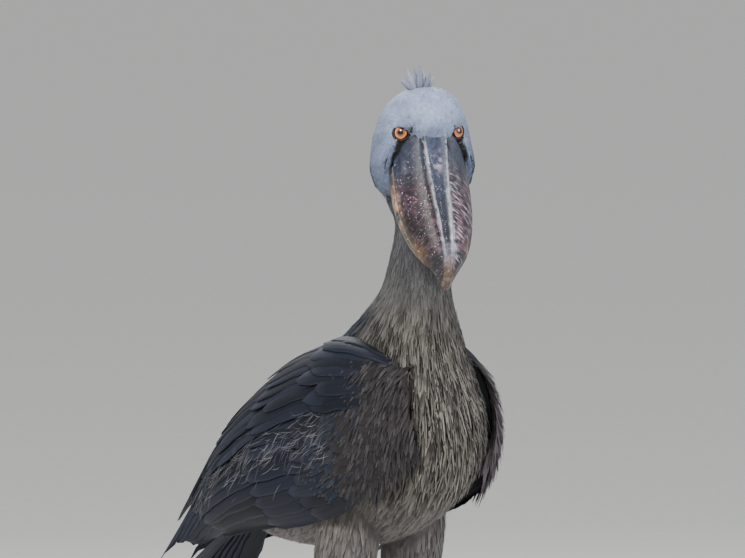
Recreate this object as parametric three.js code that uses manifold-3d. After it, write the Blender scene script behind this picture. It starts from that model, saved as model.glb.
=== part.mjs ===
// A standing shoebill (Balaeniceps rex), life size, in millimetres.
// +Z is up, the breast faces -Y, the bird's left side is +X, and the soles stand at Z = 0.
// The head is turned to the bird's right and the bill is held down, so that it looks at a viewer
// who stands off its right breast.

import * as THREE from "three";
import { mergeVertices } from "three/addons/utils/BufferGeometryUtils.js";
import Module from "manifold-3d";

const wasm = await Module();
wasm.setup();

// Driving dimensions
const GAP = 0.3; // space left between pieces that touch
const HEAD_CENTRE = { forward: 152, up: 1187, left: -18 };
const HEAD_TURN = 23; // degrees, to the bird's right of straight ahead
const HEAD_TILT = 0.8; // degrees, crown over to the bird's right
const BILL_PITCH = 62; // degrees, bill axis below the horizon
const BILL_BASE = 21; // from the head's centre to the feather edge on the culmen
const BILL_REACH = 207; // from that feather edge to the tip of the nail, along the bill's axis
const BILL_HALF_WIDTH = 51;
const MOUTH_GAP = 0.6; // the line of the mouth
const EYE_RADIUS = 12.5;
const EYE_CENTRE = { along: 8, over: 1, aside: 35.5 };
const EYE_LOOK = { along: 0.36, over: 0.76, aside: 0.53 };
const LID_OPENING = 9.2;
const NECK_CUT_TOP = 1098; // height of the parting between head and neck
const NECK_CUT_FOOT = 935; // height of the parting between neck and torso
const TAIL_LENGTH = 205;
const TAIL_PAIRS = 5;
const TAIL_STEP = 1.7; // each tail feather lies this far under the one nearer the middle
const TAIL_SPACE = 2.5;
const TAIL_DROOP = 38; // degrees below the horizon
const ANKLE_UP = 262;
const THIGH_END_UP = 378;
const FOOT_HUB = { forward: 0, left: 75 };
const FOOT_UP = 24; // height of the parting between shank and foot
const TOE_HEIGHT = 0.78; // share of a toe's radius from its middle to the flat sole

const VANE_THICKNESS = 1.3;
// Outline of a feather: share of its length and of its half-width.
const VANE_OUTLINE = [
  [0, 0.6],
  [0.46, 1],
  [0.86, 0.86],
  [1, 0.16],
];

const TAIL_OUTLINE = [
  [0, 0.7],
  [0.9, 1],
  [1, 0.3],
];
const PLUME_OUTLINE = [
  [0, 0.6],
  [0.45, 1],
  [0.8, 0.62],
  [1, 0.12],
];

const rad = THREE.MathUtils.degToRad;
const lerp = THREE.MathUtils.lerp;

// A point of the body: forward of the feet, up from the floor, and to the bird's left.
function at(forward, up, left) {
  return new THREE.Vector3(left, -forward, up);
}

// The head's own frame: along the bill, over it towards the crown, and aside to the left.
const headFrame = new THREE.Matrix4()
  .makeTranslation(at(HEAD_CENTRE.forward, HEAD_CENTRE.up, HEAD_CENTRE.left))
  .multiply(new THREE.Matrix4().makeRotationZ(-rad(HEAD_TURN)))
  .multiply(new THREE.Matrix4().makeRotationY(-rad(HEAD_TILT)))
  .multiply(new THREE.Matrix4().makeRotationX(rad(BILL_PITCH)));

function onHead(along, over, aside) {
  return new THREE.Vector3(aside, -along, over).applyMatrix4(headFrame);
}

// Reads one row of a table of stations at place t, with each column a smooth curve.
function rowAt(rows, t) {
  const last = rows.length - 1;
  const i = Math.min(Math.max(Math.floor(t), 0), last - 1);
  const s = t - i;
  const before = rows[Math.max(i - 1, 0)];
  const from = rows[i];
  const to = rows[i + 1];
  const after = rows[Math.min(i + 2, last)];
  return from.map((value, column) => {
    const leave = (to[column] - before[column]) / 2;
    const arrive = (after[column] - value) / 2;
    const rise = to[column] - value;
    return value + s * (leave + s * (3 * rise - 2 * leave - arrive + s * (leave + arrive - 2 * rise)));
  });
}

// Makes a closed solid through rings of points, with a flat fan over each end. The sides of the
// ring listed in turned are cut along their other diagonal.
function loft(rings, turned = []) {
  const count = rings[0].length;
  const positions = [];
  const index = [];
  for (const ring of rings) {
    for (const p of ring) positions.push(p.x, p.y, p.z);
  }
  for (let r = 0; r + 1 < rings.length; r++) {
    for (let k = 0; k < count; k++) {
      const a = r * count + k;
      const b = r * count + ((k + 1) % count);
      if (turned.includes(k)) index.push(a, b, b + count, a, b + count, a + count);
      else index.push(a, b, a + count, b, b + count, a + count);
    }
  }
  for (const [start, turn] of [[0, false], [(rings.length - 1) * count, true]]) {
    const middle = new THREE.Vector3();
    for (const p of rings[start / count]) middle.addScaledVector(p, 1 / count);
    const hub = positions.length / 3;
    positions.push(middle.x, middle.y, middle.z);
    for (let k = 0; k < count; k++) {
      const a = start + k;
      const b = start + ((k + 1) % count);
      index.push(hub, turn ? a : b, turn ? b : a);
    }
  }
  const geometry = new THREE.BufferGeometry();
  geometry.setAttribute("position", new THREE.Float32BufferAttribute(positions, 3));
  geometry.setIndex(index);
  return toSolid(geometry);
}

// Turns a closed geometry into a solid with its faces outwards.
function toSolid(geometry) {
  const bare = geometry.clone();
  bare.deleteAttribute("normal");
  bare.deleteAttribute("uv");
  const merged = mergeVertices(bare, 1e-4);
  const triVerts = new Uint32Array(merged.index.array);
  const vertProperties = new Float32Array(merged.attributes.position.array);
  const solid = new wasm.Manifold(new wasm.Mesh({ numProp: 3, vertProperties, triVerts }));
  if (solid.volume() > 0) return solid;
  for (let i = 0; i < triVerts.length; i += 3) {
    [triVerts[i + 1], triVerts[i + 2]] = [triVerts[i + 2], triVerts[i + 1]];
  }
  return new wasm.Manifold(new wasm.Mesh({ numProp: 3, vertProperties, triVerts }));
}

// Keeps the largest closed surface of a solid, which fills sealed hollows and drops scraps.
function largest(solid) {
  const bodies = solid.decompose();
  return bodies.reduce((best, body) => (body.volume() > best.volume() ? body : best));
}

// One feather as a thin vane that tapers to its tip, with its root sunk into what carries it.
// lay gives the place for a share of its length, a way aside in millimetres and a height.
function vane(lay, form) {
  const outline = form.outline ?? VANE_OUTLINE;
  const rings = outline.map(([share, width]) => {
    const half = form.halfWidth * width;
    const height = lerp(-form.sink, form.lift, share ** 0.8);
    const thickness = lerp(form.thickness, form.thickness * 0.6, share);
    const tilt = form.roll * half;
    return [
      lay(share, -half, height - tilt),
      lay(share, half, height + tilt),
      lay(share, half, height + tilt - thickness),
      lay(share, -half, height - tilt - thickness),
    ];
  });
  return loft(rings, [2]);
}

function joinAll(solids) {
  return wasm.Manifold.union(solids);
}

// An ellipsoid of three half-sizes, placed by a matrix.
function ellipsoid(halfX, halfY, halfZ, matrix, around = 16, down = 10) {
  const geometry = new THREE.SphereGeometry(1, around, down).scale(halfX, halfY, halfZ);
  return toSolid(geometry.applyMatrix4(matrix));
}

// A slab that fills everything above a level plane.
function above(level) {
  const size = 3000;
  return toSolid(new THREE.BoxGeometry(size, size, size).translate(0, 0, level + size / 2));
}

// Splits a solid at a level, with the gap between the two pieces.
function partAt(solid, level) {
  const upper = solid.intersect(above(level + GAP / 2));
  const lower = solid.subtract(above(level - GAP / 2));
  return [upper, lower];
}

// Neck and torso are one form. Each station is an oval between a point on the back and a point
// on the front: back forward, back up, front forward, front up, half-width, share of the way to
// the back where it is widest, and its turn to the bird's right in degrees.
const TRUNK = [
  [92, 1152, 138, 1152, 34, 0.5, 24],
  [84, 1124, 150, 1116, 50, 0.5, 24],
  [80, 1094, 152, 1086, 49, 0.5, 20],
  [79, 1064, 156, 1056, 38, 0.5, 12],
  [76, 1038, 158, 1030, 37, 0.5, 6],
  [68, 1004, 158, 996, 41, 0.5, 0],
  [56, 972, 159, 958, 47, 0.5, 0],
  [31, 944, 164, 925, 57, 0.48, 0],
  [-3, 916, 173, 891, 68, 0.46, 0],
  [-48, 886, 189, 853, 82, 0.45, 0],
  [-100, 860, 206, 812, 95, 0.45, 0],
  [-150, 834, 212, 768, 102, 0.46, 0],
  [-192, 804, 194, 716, 104, 0.48, 0],
  [-222, 772, 146, 668, 101, 0.5, 0],
  [-240, 742, 78, 632, 93, 0.5, 0],
  [-250, 716, 0, 612, 82, 0.5, 0],
  [-257, 695, -85, 604, 66, 0.5, 0],
  [-263, 678, -160, 606, 48, 0.5, 0],
  [-268, 664, -215, 616, 30, 0.5, 0],
];
const TRUNK_AROUND = 22;
const TRUNK_STEPS = 25;

function trunkRing(t, grow) {
  const [backForward, backUp, frontForward, frontUp, halfWidth, widest, turn] = rowAt(TRUNK, t);
  const back = at(backForward, backUp, 0);
  const front = at(frontForward, frontUp, 0);
  const out = back.clone().sub(front).normalize().multiplyScalar(grow);
  back.add(out);
  front.sub(out);
  const middle = front.clone().lerp(back, widest);
  const ring = [];
  for (let k = 0; k < TRUNK_AROUND; k++) {
    const angle = (2 * Math.PI * k) / TRUNK_AROUND;
    const rise = Math.sin(angle);
    const point = middle.clone().lerp(rise > 0 ? back : front, Math.abs(rise));
    point.x += (halfWidth + grow) * Math.cos(angle);
    point.sub(middle).applyAxisAngle(new THREE.Vector3(0, 0, 1), -rad(turn)).add(middle);
    ring.push(point);
  }
  return ring;
}

function trunk(grow) {
  const rings = [];
  for (let i = 0; i <= TRUNK_STEPS; i++) {
    rings.push(trunkRing((i / TRUNK_STEPS) * (TRUNK.length - 1), grow));
  }
  return loft(rings);
}

// The skull, cheeks and throat, sliced across the bill's axis: along, crown, throat,
// half-width at the brow and half-width at the cheek.
const SKULL = [
  [-57, 0, -14, 9, 9],
  [-51, 19, -34, 30, 32],
  [-38, 35, -58, 47, 52],
  [-20, 45, -76, 55, 63],
  [-3, 48, -85, 54, 71],
  [12, 46, -89, 49, 75],
  [21, 40, -90, 50, 77],
  [28, 30, -89, 54, 78],
  [35, 19, -87, 56, 78],
  [43, 4, -85, 56, 76],
  [56, -20, -81, 55, 71],
  [70, -38, -75, 46, 57],
  [82, -50, -66, 20, 28],
];

function skull() {
  const around = 24;
  const steps = 18;
  const rings = [];
  for (let i = 0; i <= steps; i++) {
    const [along, crown, throat, brow, cheek] = rowAt(SKULL, (i / steps) * (SKULL.length - 1));
    const ring = [];
    for (let k = 0; k < around; k++) {
      const angle = (2 * Math.PI * k) / around;
      const rise = Math.sin(angle);
      const halfWidth = lerp(cheek, brow, THREE.MathUtils.smoothstep(rise, -0.45, 0.5));
      const over = lerp(throat, crown, (1 + rise) / 2);
      ring.push(onHead(along, over, halfWidth * Math.cos(angle)));
    }
    rings.push(ring);
  }
  return loft(rings);
}

// Upper bill: along, half-width, culmen, cutting edge, half-width of the central plate.
const UPPER_BILL = [
  [BILL_BASE, 39, 31, -15, 15],
  [32, 45.5, 30, -16.5, 14.5],
  [44, 49, 28, -18.5, 14],
  [65, 50.5, 25, -21, 12.5],
  [90, BILL_HALF_WIDTH, 23, -22, 11],
  [115, 50, 22, -22, 9.5],
  [140, 46.5, 22, -20, 8],
  [165, 40, 21, -17, 6.5],
  [185, 32, 18, -14, 5.5],
  [199, 23, 13, -13, 4.5],
  [210, 14.5, 5, -16, 3.5],
  [219, 8.5, -6, -22, 2.5],
  [BILL_BASE + BILL_REACH - 3, 4, -18, -27, 1.5],
  [BILL_BASE + BILL_REACH, 1.2, -25, -28.5, 0.6],
];
// Half of the upper bill's cross-section, from the middle of the culmen to the middle of the
// palate: aside as a share from the central plate's edge to the cutting edge, and height as a
// share from the cutting edge to the culmen. Negative shares of aside lie on the central plate.
const UPPER_SECTION = [
  [-1, 0.97],
  [-0.4, 0.97],
  [0, 1],
  [0.07, 0.87],
  [0.16, 0.9],
  [0.42, 0.8],
  [0.66, 0.62],
  [0.84, 0.38],
  [0.93, 0.2],
  [1, 0.12],
  [0.985, 0],
  [0.8, 0.05],
  [-1, 0.06],
];
const LOWER_SECTION = [
  [-1, 1],
  [0.9, 1],
  [1, 0.93],
  [0.99, 0.62],
  [0.9, 0.3],
  [0.68, 0.08],
  [0.3, 0],
  [-1, 0.03],
];
// Lower bill: along, half-width, cutting edge, keel.
const LOWER_BILL = [
  [6, 44, -14, -60],
  [BILL_BASE, 47, -15, -62],
  [42, 51, -18, -62],
  [65, 52.5, -21, -59],
  [90, 53, -22, -55.5],
  [115, 51.5, -22, -51],
  [140, 47.5, -20, -45],
  [165, 40.5, -17, -37],
  [185, 31, -14, -29],
  [196, 22, -13, -24],
  [203, 13, -14.5, -20],
];

// One ring of a bill section, mirrored to both sides.
function billRing(section, along, halfWidth, top, edge, plate, grow) {
  const half = section.map(([aside, height]) => {
    const across = aside < 0 ? plate * (1 + aside) : lerp(plate, halfWidth, aside);
    return [across, lerp(edge, top, height)];
  });
  const full = [...half];
  for (let i = half.length - 2; i > 0; i--) full.push([-half[i][0], half[i][1]]);
  const middle = (top + edge) / 2;
  return full.map(([across, over]) => {
    const wide = across + grow * Math.sign(across);
    const high = over + grow * Math.sign(over - middle);
    return onHead(along, high, wide);
  });
}

function upperBill(grow) {
  const steps = 17;
  const rings = [];
  for (let i = 0; i <= steps; i++) {
    const [along, halfWidth, top, edge, plate] = rowAt(UPPER_BILL, (i / steps) * (UPPER_BILL.length - 1));
    const reach = i === 0 ? along - grow : along;
    rings.push(billRing(UPPER_SECTION, reach, halfWidth, top, edge, plate, grow));
  }
  return loft(rings);
}

function lowerBill(grow) {
  const steps = 14;
  const rings = [];
  for (let i = 0; i <= steps; i++) {
    const [along, halfWidth, edge, keel] = rowAt(LOWER_BILL, (i / steps) * (LOWER_BILL.length - 1));
    const reach = i === 0 ? along - grow : along;
    const lip = edge - MOUTH_GAP;
    rings.push(billRing(LOWER_SECTION, reach, halfWidth, lip, keel, halfWidth / 3, grow));
  }
  return loft(rings);
}

// The place of an eye, and a matrix whose Z axis is the way it looks.
function eyeMatrix(side) {
  const centre = onHead(EYE_CENTRE.along, EYE_CENTRE.over, side * EYE_CENTRE.aside);
  const target = onHead(
    EYE_CENTRE.along + EYE_LOOK.along,
    EYE_CENTRE.over + EYE_LOOK.over,
    side * (EYE_CENTRE.aside + EYE_LOOK.aside),
  );
  const look = target.sub(centre).normalize();
  const turn = new THREE.Quaternion().setFromUnitVectors(new THREE.Vector3(0, 0, 1), look);
  return new THREE.Matrix4().compose(centre, turn, new THREE.Vector3(1, 1, 1));
}

function eyeball(side, grow) {
  const radius = EYE_RADIUS + grow;
  return ellipsoid(radius, radius, radius, eyeMatrix(side), 14, 8);
}

// A raised ring of lid round the eye.
function lidRing(side) {
  const ring = new THREE.TorusGeometry(LID_OPENING + 2, 3.4, 5, 14).translate(0, 0, 8.2);
  return toSolid(ring.applyMatrix4(eyeMatrix(side)));
}

function lidOpening(side) {
  const depth = 40;
  const opening = new THREE.CylinderGeometry(LID_OPENING * 2.1, LID_OPENING, depth, 14)
    .rotateX(Math.PI / 2)
    .translate(0, 0, depth / 2 + 4);
  return toSolid(opening.applyMatrix4(eyeMatrix(side)));
}

// The heavy brow that shades each eye from above.
function brow(side) {
  const outer = onHead(-8, 4, side * 47);
  const inner = onHead(14, 30, side * 27);
  const turn = new THREE.Quaternion().setFromUnitVectors(
    new THREE.Vector3(1, 0, 0),
    inner.clone().sub(outer).normalize(),
  );
  const place = new THREE.Matrix4().compose(outer.lerp(inner, 0.45), turn, new THREE.Vector3(1, 1, 1));
  return ellipsoid(22, 8, 8, place, 12, 8);
}

// Outer face of a folded wing. Each station has a point on the upper edge, the fullest point
// and a point on the lower edge: forward, up, out for each.
const WING = [
  [154, 866, 62, 176, 808, 74, 176, 750, 60],
  [108, 886, 76, 142, 800, 112, 150, 708, 86],
  [44, 894, 74, 72, 790, 127, 90, 674, 102],
  [-38, 880, 46, -14, 775, 130, 10, 652, 106],
  [-118, 856, 24, -98, 752, 124, -75, 640, 100],
  [-192, 820, 10, -178, 724, 108, -160, 628, 86],
  [-250, 774, 7, -246, 692, 86, -235, 612, 68],
  [-306, 710, 9, -308, 650, 62, -305, 594, 50],
  [-362, 642, 13, -366, 607, 42, -365, 576, 36],
  [-426, 566, 19, -429, 562, 23, -428, 558, 21],
];
const OVER_THE_BACK = new THREE.Vector3(-0.95, 0, 0.3);
const WING_DEPTH = 230; // the folded wing's depth across the feathers, where it is deepest
const WING_CORE_DEPTH = 1.6;
const WING_CORE_END = 7.4; // past this station the folded wing is feathers only
const WING_THICKNESS = [[14], [25], [27], [25], [21], [17], [12], [8], [6], [3]];

function wingPoint(u, v) {
  const row = rowAt(WING, u);
  const upper = at(row[0], row[1], row[2]);
  const fullest = at(row[3], row[4], row[5]);
  const lower = at(row[6], row[7], row[8]);
  if (v < 0) return upper.addScaledVector(OVER_THE_BACK, -v * WING_DEPTH);
  const chord = upper.clone().lerp(lower, v);
  const bulge = fullest.sub(upper.clone().lerp(lower, 0.5));
  const share = Math.max(1 - (2 * v - 1) ** 2, 0) ** 0.72;
  return chord.addScaledVector(bulge, share);
}

function wingNormal(u, v) {
  const step = 0.04;
  const low = Math.max(v, 0.08);
  const middle = Math.min(low, 0.92);
  const alongWing = wingPoint(Math.min(u + step, 9), middle).sub(wingPoint(Math.max(u - step, 0), middle));
  const acrossWing = wingPoint(u, middle + step).sub(wingPoint(u, middle - step));
  const normal = alongWing.cross(acrossWing).normalize();
  return normal.x < 0 ? normal.negate() : normal;
}

// The folded wing as a plate on the outer face, from one depth under it to another.
function wingPlate(outer, inner, lastStation) {
  const across = 6;
  const steps = Math.round(lastStation * 1.1);
  const rings = [];
  for (let i = 0; i <= steps; i++) {
    const u = (i / steps) * lastStation;
    const thickness = rowAt(WING_THICKNESS, u)[0];
    const ring = [];
    for (let k = 0; k <= across; k++) {
      ring.push(wingPoint(u, k / across).addScaledVector(wingNormal(u, k / across), -outer));
    }
    for (let k = across; k >= 0; k--) {
      const depth = outer + Math.max(thickness - outer, 1.5) + inner;
      ring.push(wingPoint(u, k / across).addScaledVector(wingNormal(u, k / across), -depth));
    }
    rings.push(ring);
  }
  return loft(rings);
}

const mirrorX = (solid) => solid.mirror([1, 0, 0]);

// Tiers of wing feathers, each from its uppermost feather to its lowest. roots and tips are
// stations along the wing; from and to are places across it, 0 at the upper edge and 1 at the
// lower; step is how far the tip of each feather lies over that of the next one down.
const WING_TIERS = [
  { name: "primaries", count: 5, roots: [5.4, 4.8], tips: [9, 7.6], from: [0.42, 0.9], to: [0.5, 0.93], half: 14, lift: 1, step: 1.7 },
  { name: "secondaries", count: 5, roots: [3.3, 3.1], tips: [7.3, 6], from: [0.26, 0.93], to: [0.36, 0.97], half: 22, lift: 3, step: 1.2 },
  { name: "tertials", count: 3, roots: [3.6, 3.3], tips: [8.3, 7.2], from: [0.08, 0.3], to: [0.16, 0.42], half: 20, lift: 11, step: 1.6 },
  { name: "greater coverts", count: 5, roots: [2, 1.9], tips: [4.4, 4], from: [0.2, 0.94], to: [0.22, 0.97], half: 22, lift: 5, step: 0 },
  { name: "median coverts", count: 5, roots: [1, 0.8], tips: [2.7, 2.5], from: [0.16, 0.92], to: [0.18, 0.95], half: 19, lift: 4.4, step: 0 },
  { name: "lesser coverts", count: 4, roots: [0.3, 0.2], tips: [1.6, 1.4], from: [0.15, 0.88], to: [0.16, 0.91], half: 19, lift: 4, step: 0 },
  { name: "rear scapulars", count: 3, roots: [2.3, 2.4], tips: [5.7, 5.2], from: [-0.06, 0.1], to: [0.03, 0.2], half: 20, lift: 11, step: 1 },
  { name: "front scapulars", count: 4, roots: [0.6, 0.7], tips: [3.4, 3.1], from: [-0.12, 0.12], to: [-0.09, 0.16], half: 18, lift: 7, step: 0.4 },
];

function wingFeathers() {
  const feathers = [];
  for (const tier of WING_TIERS) {
    for (let i = 0; i < tier.count; i++) {
      const share = i / (tier.count - 1);
      const fromStation = lerp(tier.roots[0], tier.roots[1], share);
      const toStation = lerp(tier.tips[0], tier.tips[1], share);
      const fromPlace = lerp(tier.from[0], tier.from[1], share);
      const toPlace = lerp(tier.to[0], tier.to[1], share);
      const lay = (along, aside, height) => {
        const u = lerp(fromStation, toStation, along);
        const deep = wingPoint(u, 0).distanceTo(wingPoint(u, 0.5)) * 2;
        const v = lerp(fromPlace, toPlace, along) + aside / Math.max(deep, 70);
        return wingPoint(u, v).addScaledVector(wingNormal(u, v), height - WING_CORE_DEPTH);
      };
      const lift = tier.lift + tier.step * (tier.count - 1 - i);
      feathers.push(vane(lay, { halfWidth: tier.half, sink: 3, lift, roll: 0.09, thickness: VANE_THICKNESS }));
    }
  }
  return joinAll(feathers);
}

// A thigh in its feathers: forward, up, out, radius.
const THIGH = [
  [34, 690, 52, 44],
  [30, 640, 54, 46],
  [20, 580, 58, 42],
  [6, 510, 62, 34],
  [-6, 445, 65, 25],
  [-12, 400, 66, 18],
  [-15, THIGH_END_UP + GAP / 2, 67, 13.5],
];
// The bare leg below it, from the end of the feathers to the foot: forward, up, out, radius.
const SHANK = [
  [-15, THIGH_END_UP - GAP / 2, 67, 10.5],
  [-19, 330, 68, 10],
  [-24, 288, 69, 11.5],
  [-26, ANKLE_UP, 70, 15],
  [-24, 236, 70.5, 12],
  [-18, 180, 71.5, 9.5],
  [-9, 100, 73, 9.5],
  [-3, 45, 74.5, 11.5],
  [-1, FOOT_UP + GAP, 75, 13],
];

function limb(rows, steps, around) {
  const rings = [];
  for (let i = 0; i <= steps; i++) {
    const [forward, up, out, radius] = rowAt(rows, (i / steps) * (rows.length - 1));
    const ring = [];
    for (let k = 0; k < around; k++) {
      const angle = (2 * Math.PI * k) / around;
      const point = at(forward + radius * Math.cos(angle), up, out + radius * Math.sin(angle));
      ring.push(point);
    }
    rings.push(ring);
  }
  return loft(rings);
}

// Toes of the left foot: name, turn outwards in degrees, length, radius at the root and the tip.
const TOES = [
  ["middle", 6, 122, 9.8, 6.5],
  ["inner", -25, 84, 9, 6],
  ["outer", 38, 92, 9, 6],
  ["hind", 188, 44, 8.2, 6],
];
const TOE_START = 39; // the toes part from the foot at this reach from the hub
const CLAW_LENGTH = 23;

// A run of the foot's flat-soled sections along one toe, from rows of reach and radius.
function toeLoft(rows, turn, steps, floor) {
  const around = 8;
  const heading = rad(turn);
  const rings = [];
  for (let i = 0; i <= steps; i++) {
    const [reach, radius, lift] = rowAt(rows, (i / steps) * (rows.length - 1));
    const ring = [];
    for (let k = 0; k < around; k++) {
      const angle = (2 * Math.PI * (k + 0.5)) / around;
      const aside = radius * Math.cos(angle);
      const up = Math.max(radius * (Math.sin(angle) + TOE_HEIGHT) + lift, floor);
      ring.push(
        at(
          FOOT_HUB.forward + reach * Math.cos(heading) - aside * Math.sin(heading),
          up,
          FOOT_HUB.left + reach * Math.sin(heading) + aside * Math.cos(heading),
        ),
      );
    }
    rings.push(ring);
  }
  return loft(rings);
}

// A toe swells at each joint and rests on a flat sole.
function toe(turn, length, rootRadius, tipRadius) {
  const joints = 3;
  const rows = [];
  for (let i = 0; i <= 2 * joints; i++) {
    const share = i / (2 * joints);
    const swell = i % 2 ? 0.9 : 1.06;
    const radius = lerp(rootRadius, tipRadius, share) * swell;
    rows.push([lerp(TOE_START, TOE_START + length, share), radius, 0]);
  }
  return toeLoft(rows, turn, 6, 0);
}

// The foot's own share of a toe, from the hub to where the toes part.
function toeStub(turn, rootRadius) {
  const rows = [
    [0, rootRadius * 1.15, 0],
    [TOE_START - GAP, rootRadius * 1.06, 0],
  ];
  return toeLoft(rows, turn, 1, 0);
}

function claw(turn, length, tipRadius) {
  const start = TOE_START + length + GAP;
  const rows = [
    [start, tipRadius * 0.85, 0.4],
    [start + CLAW_LENGTH * 0.4, tipRadius * 0.62, 1.6],
    [start + CLAW_LENGTH * 0.75, tipRadius * 0.34, 1.2],
    [start + CLAW_LENGTH, 0.5, 0.4],
  ];
  return toeLoft(rows, turn, 3, 0.2);
}

// The tail in its own frame: from the rump along the tail, aside and over.
const TAIL_ROOT = at(-244, 652, 0);
function onTail(reach, aside, over) {
  const droop = rad(TAIL_DROOP);
  return TAIL_ROOT.clone().add(
    at(
      -reach * Math.cos(droop) + over * -Math.sin(droop),
      -reach * Math.sin(droop) + over * Math.cos(droop),
      aside,
    ),
  );
}

// The tail as one smooth wedge: reach, half-width, half-thickness.
const TAIL = [
  [-24, 20, 15],
  [20, 25, 13],
  [60, 30, 9],
  [120, 38, 6],
  [170, 43, 4],
  [TAIL_LENGTH, 34, 2],
];

function tailWedge(grow) {
  const around = 16;
  const rings = TAIL.map(([reach, halfWidth, halfThickness]) => {
    const ring = [];
    for (let k = 0; k < around; k++) {
      const angle = (2 * Math.PI * k) / around;
      const aside = (halfWidth + grow) * Math.cos(angle);
      const over = (halfThickness + grow) * Math.sin(angle) - 0.004 * aside * aside;
      ring.push(onTail(reach, aside, over));
    }
    return ring;
  });
  return loft(rings);
}

// The tail feathers fan out from the rump, the middle pair uppermost.
function tailFeathers() {
  const feathers = [];
  for (const side of [1, -1]) {
    for (let i = 0; i < TAIL_PAIRS; i++) {
      const fan = rad(1.4 + i * 3);
      const length = TAIL_LENGTH - 3 * i * i * 0.6;
      const lay = (along, aside, height) => {
        const reach = length * (0.12 + 0.88 * along);
        const out = 5 + i * 3.2 + reach * Math.sin(fan) + side * aside;
        const droop = 0.004 * out * out;
        return onTail(reach * Math.cos(fan), side * out, height - droop - i * TAIL_STEP);
      };
      feathers.push(
        vane(lay, { halfWidth: 14, sink: 1, lift: 1.5, roll: 0, thickness: 1.1, outline: TAIL_OUTLINE }),
      );
    }
  }
  return joinAll(feathers);
}

function tailRoot() {
  const around = 12;
  const rings = [[-26, 20, 15], [10, 23, 12], [42, 25, 7.5], [66, 22, 3.5]].map(([reach, wide, deep]) => {
    const ring = [];
    for (let k = 0; k < around; k++) {
      const angle = (2 * Math.PI * k) / around;
      const aside = wide * Math.cos(angle);
      ring.push(onTail(reach, aside, deep * Math.sin(angle) - 0.004 * aside * aside - 2));
    }
    return ring;
  });
  return loft(rings);
}

// The tuft on the back of the crown. Each feather: place aside of its root, lean aside in
// degrees, length and half-width.
const CREST = [
  [-23, -60, 21, 2.6],
  [-21, -46, 29, 3],
  [-17, -26, 21, 3],
  [-16, -20, 36, 3.2],
  [-12, -10, 29, 3],
  [-9, -2, 40, 4.2],
  [-5, 4, 34, 3.2],
  [-1, 11, 29, 3],
  [3, 24, 23, 2.6],
];

function crest() {
  const plumes = CREST.map(([aside, lean, length, halfWidth], i) => {
    const bend = rad(lean);
    const lay = (along, across, height) => {
      const reach = length * along - 4;
      const side = aside + reach * Math.sin(bend) + across * Math.cos(bend);
      const rise = reach * Math.cos(bend) - across * Math.sin(bend);
      const step = (i % 2) * 2.6 + height;
      return onHead(-47 - 0.72 * rise + 0.55 * step, 22 + 0.55 * rise + 0.72 * step + 1.5 * along * along, side);
    };
    return vane(lay, { halfWidth, sink: 0, lift: 0, roll: 0, thickness: 1.4 });
  });
  return joinAll(plumes);
}

// Long narrow plumes that hang over the breast, in rows from the lowest to the uppermost:
// station on the trunk of the roots and of the tips, count, and spread to each side in degrees.
const PLUME_ROWS = [
  { from: 7.5, to: 9.1, count: 6, spread: 30 },
  { from: 6.4, to: 8, count: 7, spread: 34 },
  { from: 5.4, to: 6.9, count: 6, spread: 38 },
];

// A point on the front of the trunk at a station, turned aside from the middle of the breast.
function breastPoint(station, aside) {
  const [backForward, backUp, frontForward, frontUp, halfWidth, widest] = rowAt(TRUNK, station);
  const back = at(backForward, backUp, 0);
  const front = at(frontForward, frontUp, 0);
  const point = front.clone().lerp(back, widest * (1 - Math.cos(aside)));
  point.x += halfWidth * Math.sin(aside);
  return point;
}

function breastNormal(station, aside) {
  const step = 0.1;
  const down = breastPoint(station + step, aside).sub(breastPoint(station - step, aside));
  const across = breastPoint(station, aside + step).sub(breastPoint(station, aside - step));
  return across.cross(down).normalize();
}

function breastPlumes() {
  const plumes = [];
  for (const { from, to, count, spread } of PLUME_ROWS) {
    for (let i = 0; i < count; i++) {
      const share = count > 1 ? i / (count - 1) : 0.5;
      const middle = rad(lerp(-spread, spread, share));
      const uneven = 0.12 * ((i * 7) % 3);
      const lay = (along, aside, height) => {
        const station = lerp(from, to + uneven, along);
        const turn = middle + aside / 75;
        return breastPoint(station, turn).addScaledVector(breastNormal(station, turn), height);
      };
      plumes.push(
        vane(lay, { halfWidth: 7, sink: 2.5, lift: 5, roll: 0, thickness: 1.8, outline: PLUME_OUTLINE }),
      );
    }
  }
  return joinAll(plumes);
}

const COLOURS = {
  crown: ["#98a1b5", 0.85],
  plumage: ["#6d6a69", 0.9],
  wing: ["#3b404d", 0.7],
  bill: ["#77707a", 0.45],
  eye: ["#c9742c", 0.1],
  leg: ["#3a3838", 0.6],
  claw: ["#1d1b1a", 0.4],
};

const bird = new THREE.Group();

// Adds one solid to the bird as a named mesh.
function addPiece(name, solid, finish) {
  const { vertProperties, triVerts } = largest(solid).getMesh();
  const geometry = new THREE.BufferGeometry();
  geometry.setAttribute("position", new THREE.Float32BufferAttribute(vertProperties, 3));
  geometry.setIndex(new THREE.BufferAttribute(triVerts, 1));
  geometry.computeVertexNormals();
  const [color, roughness] = COLOURS[finish];
  const mesh = new THREE.Mesh(geometry, new THREE.MeshStandardMaterial({ color, roughness, metalness: 0 }));
  mesh.name = name;
  bird.add(mesh);
}

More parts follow.
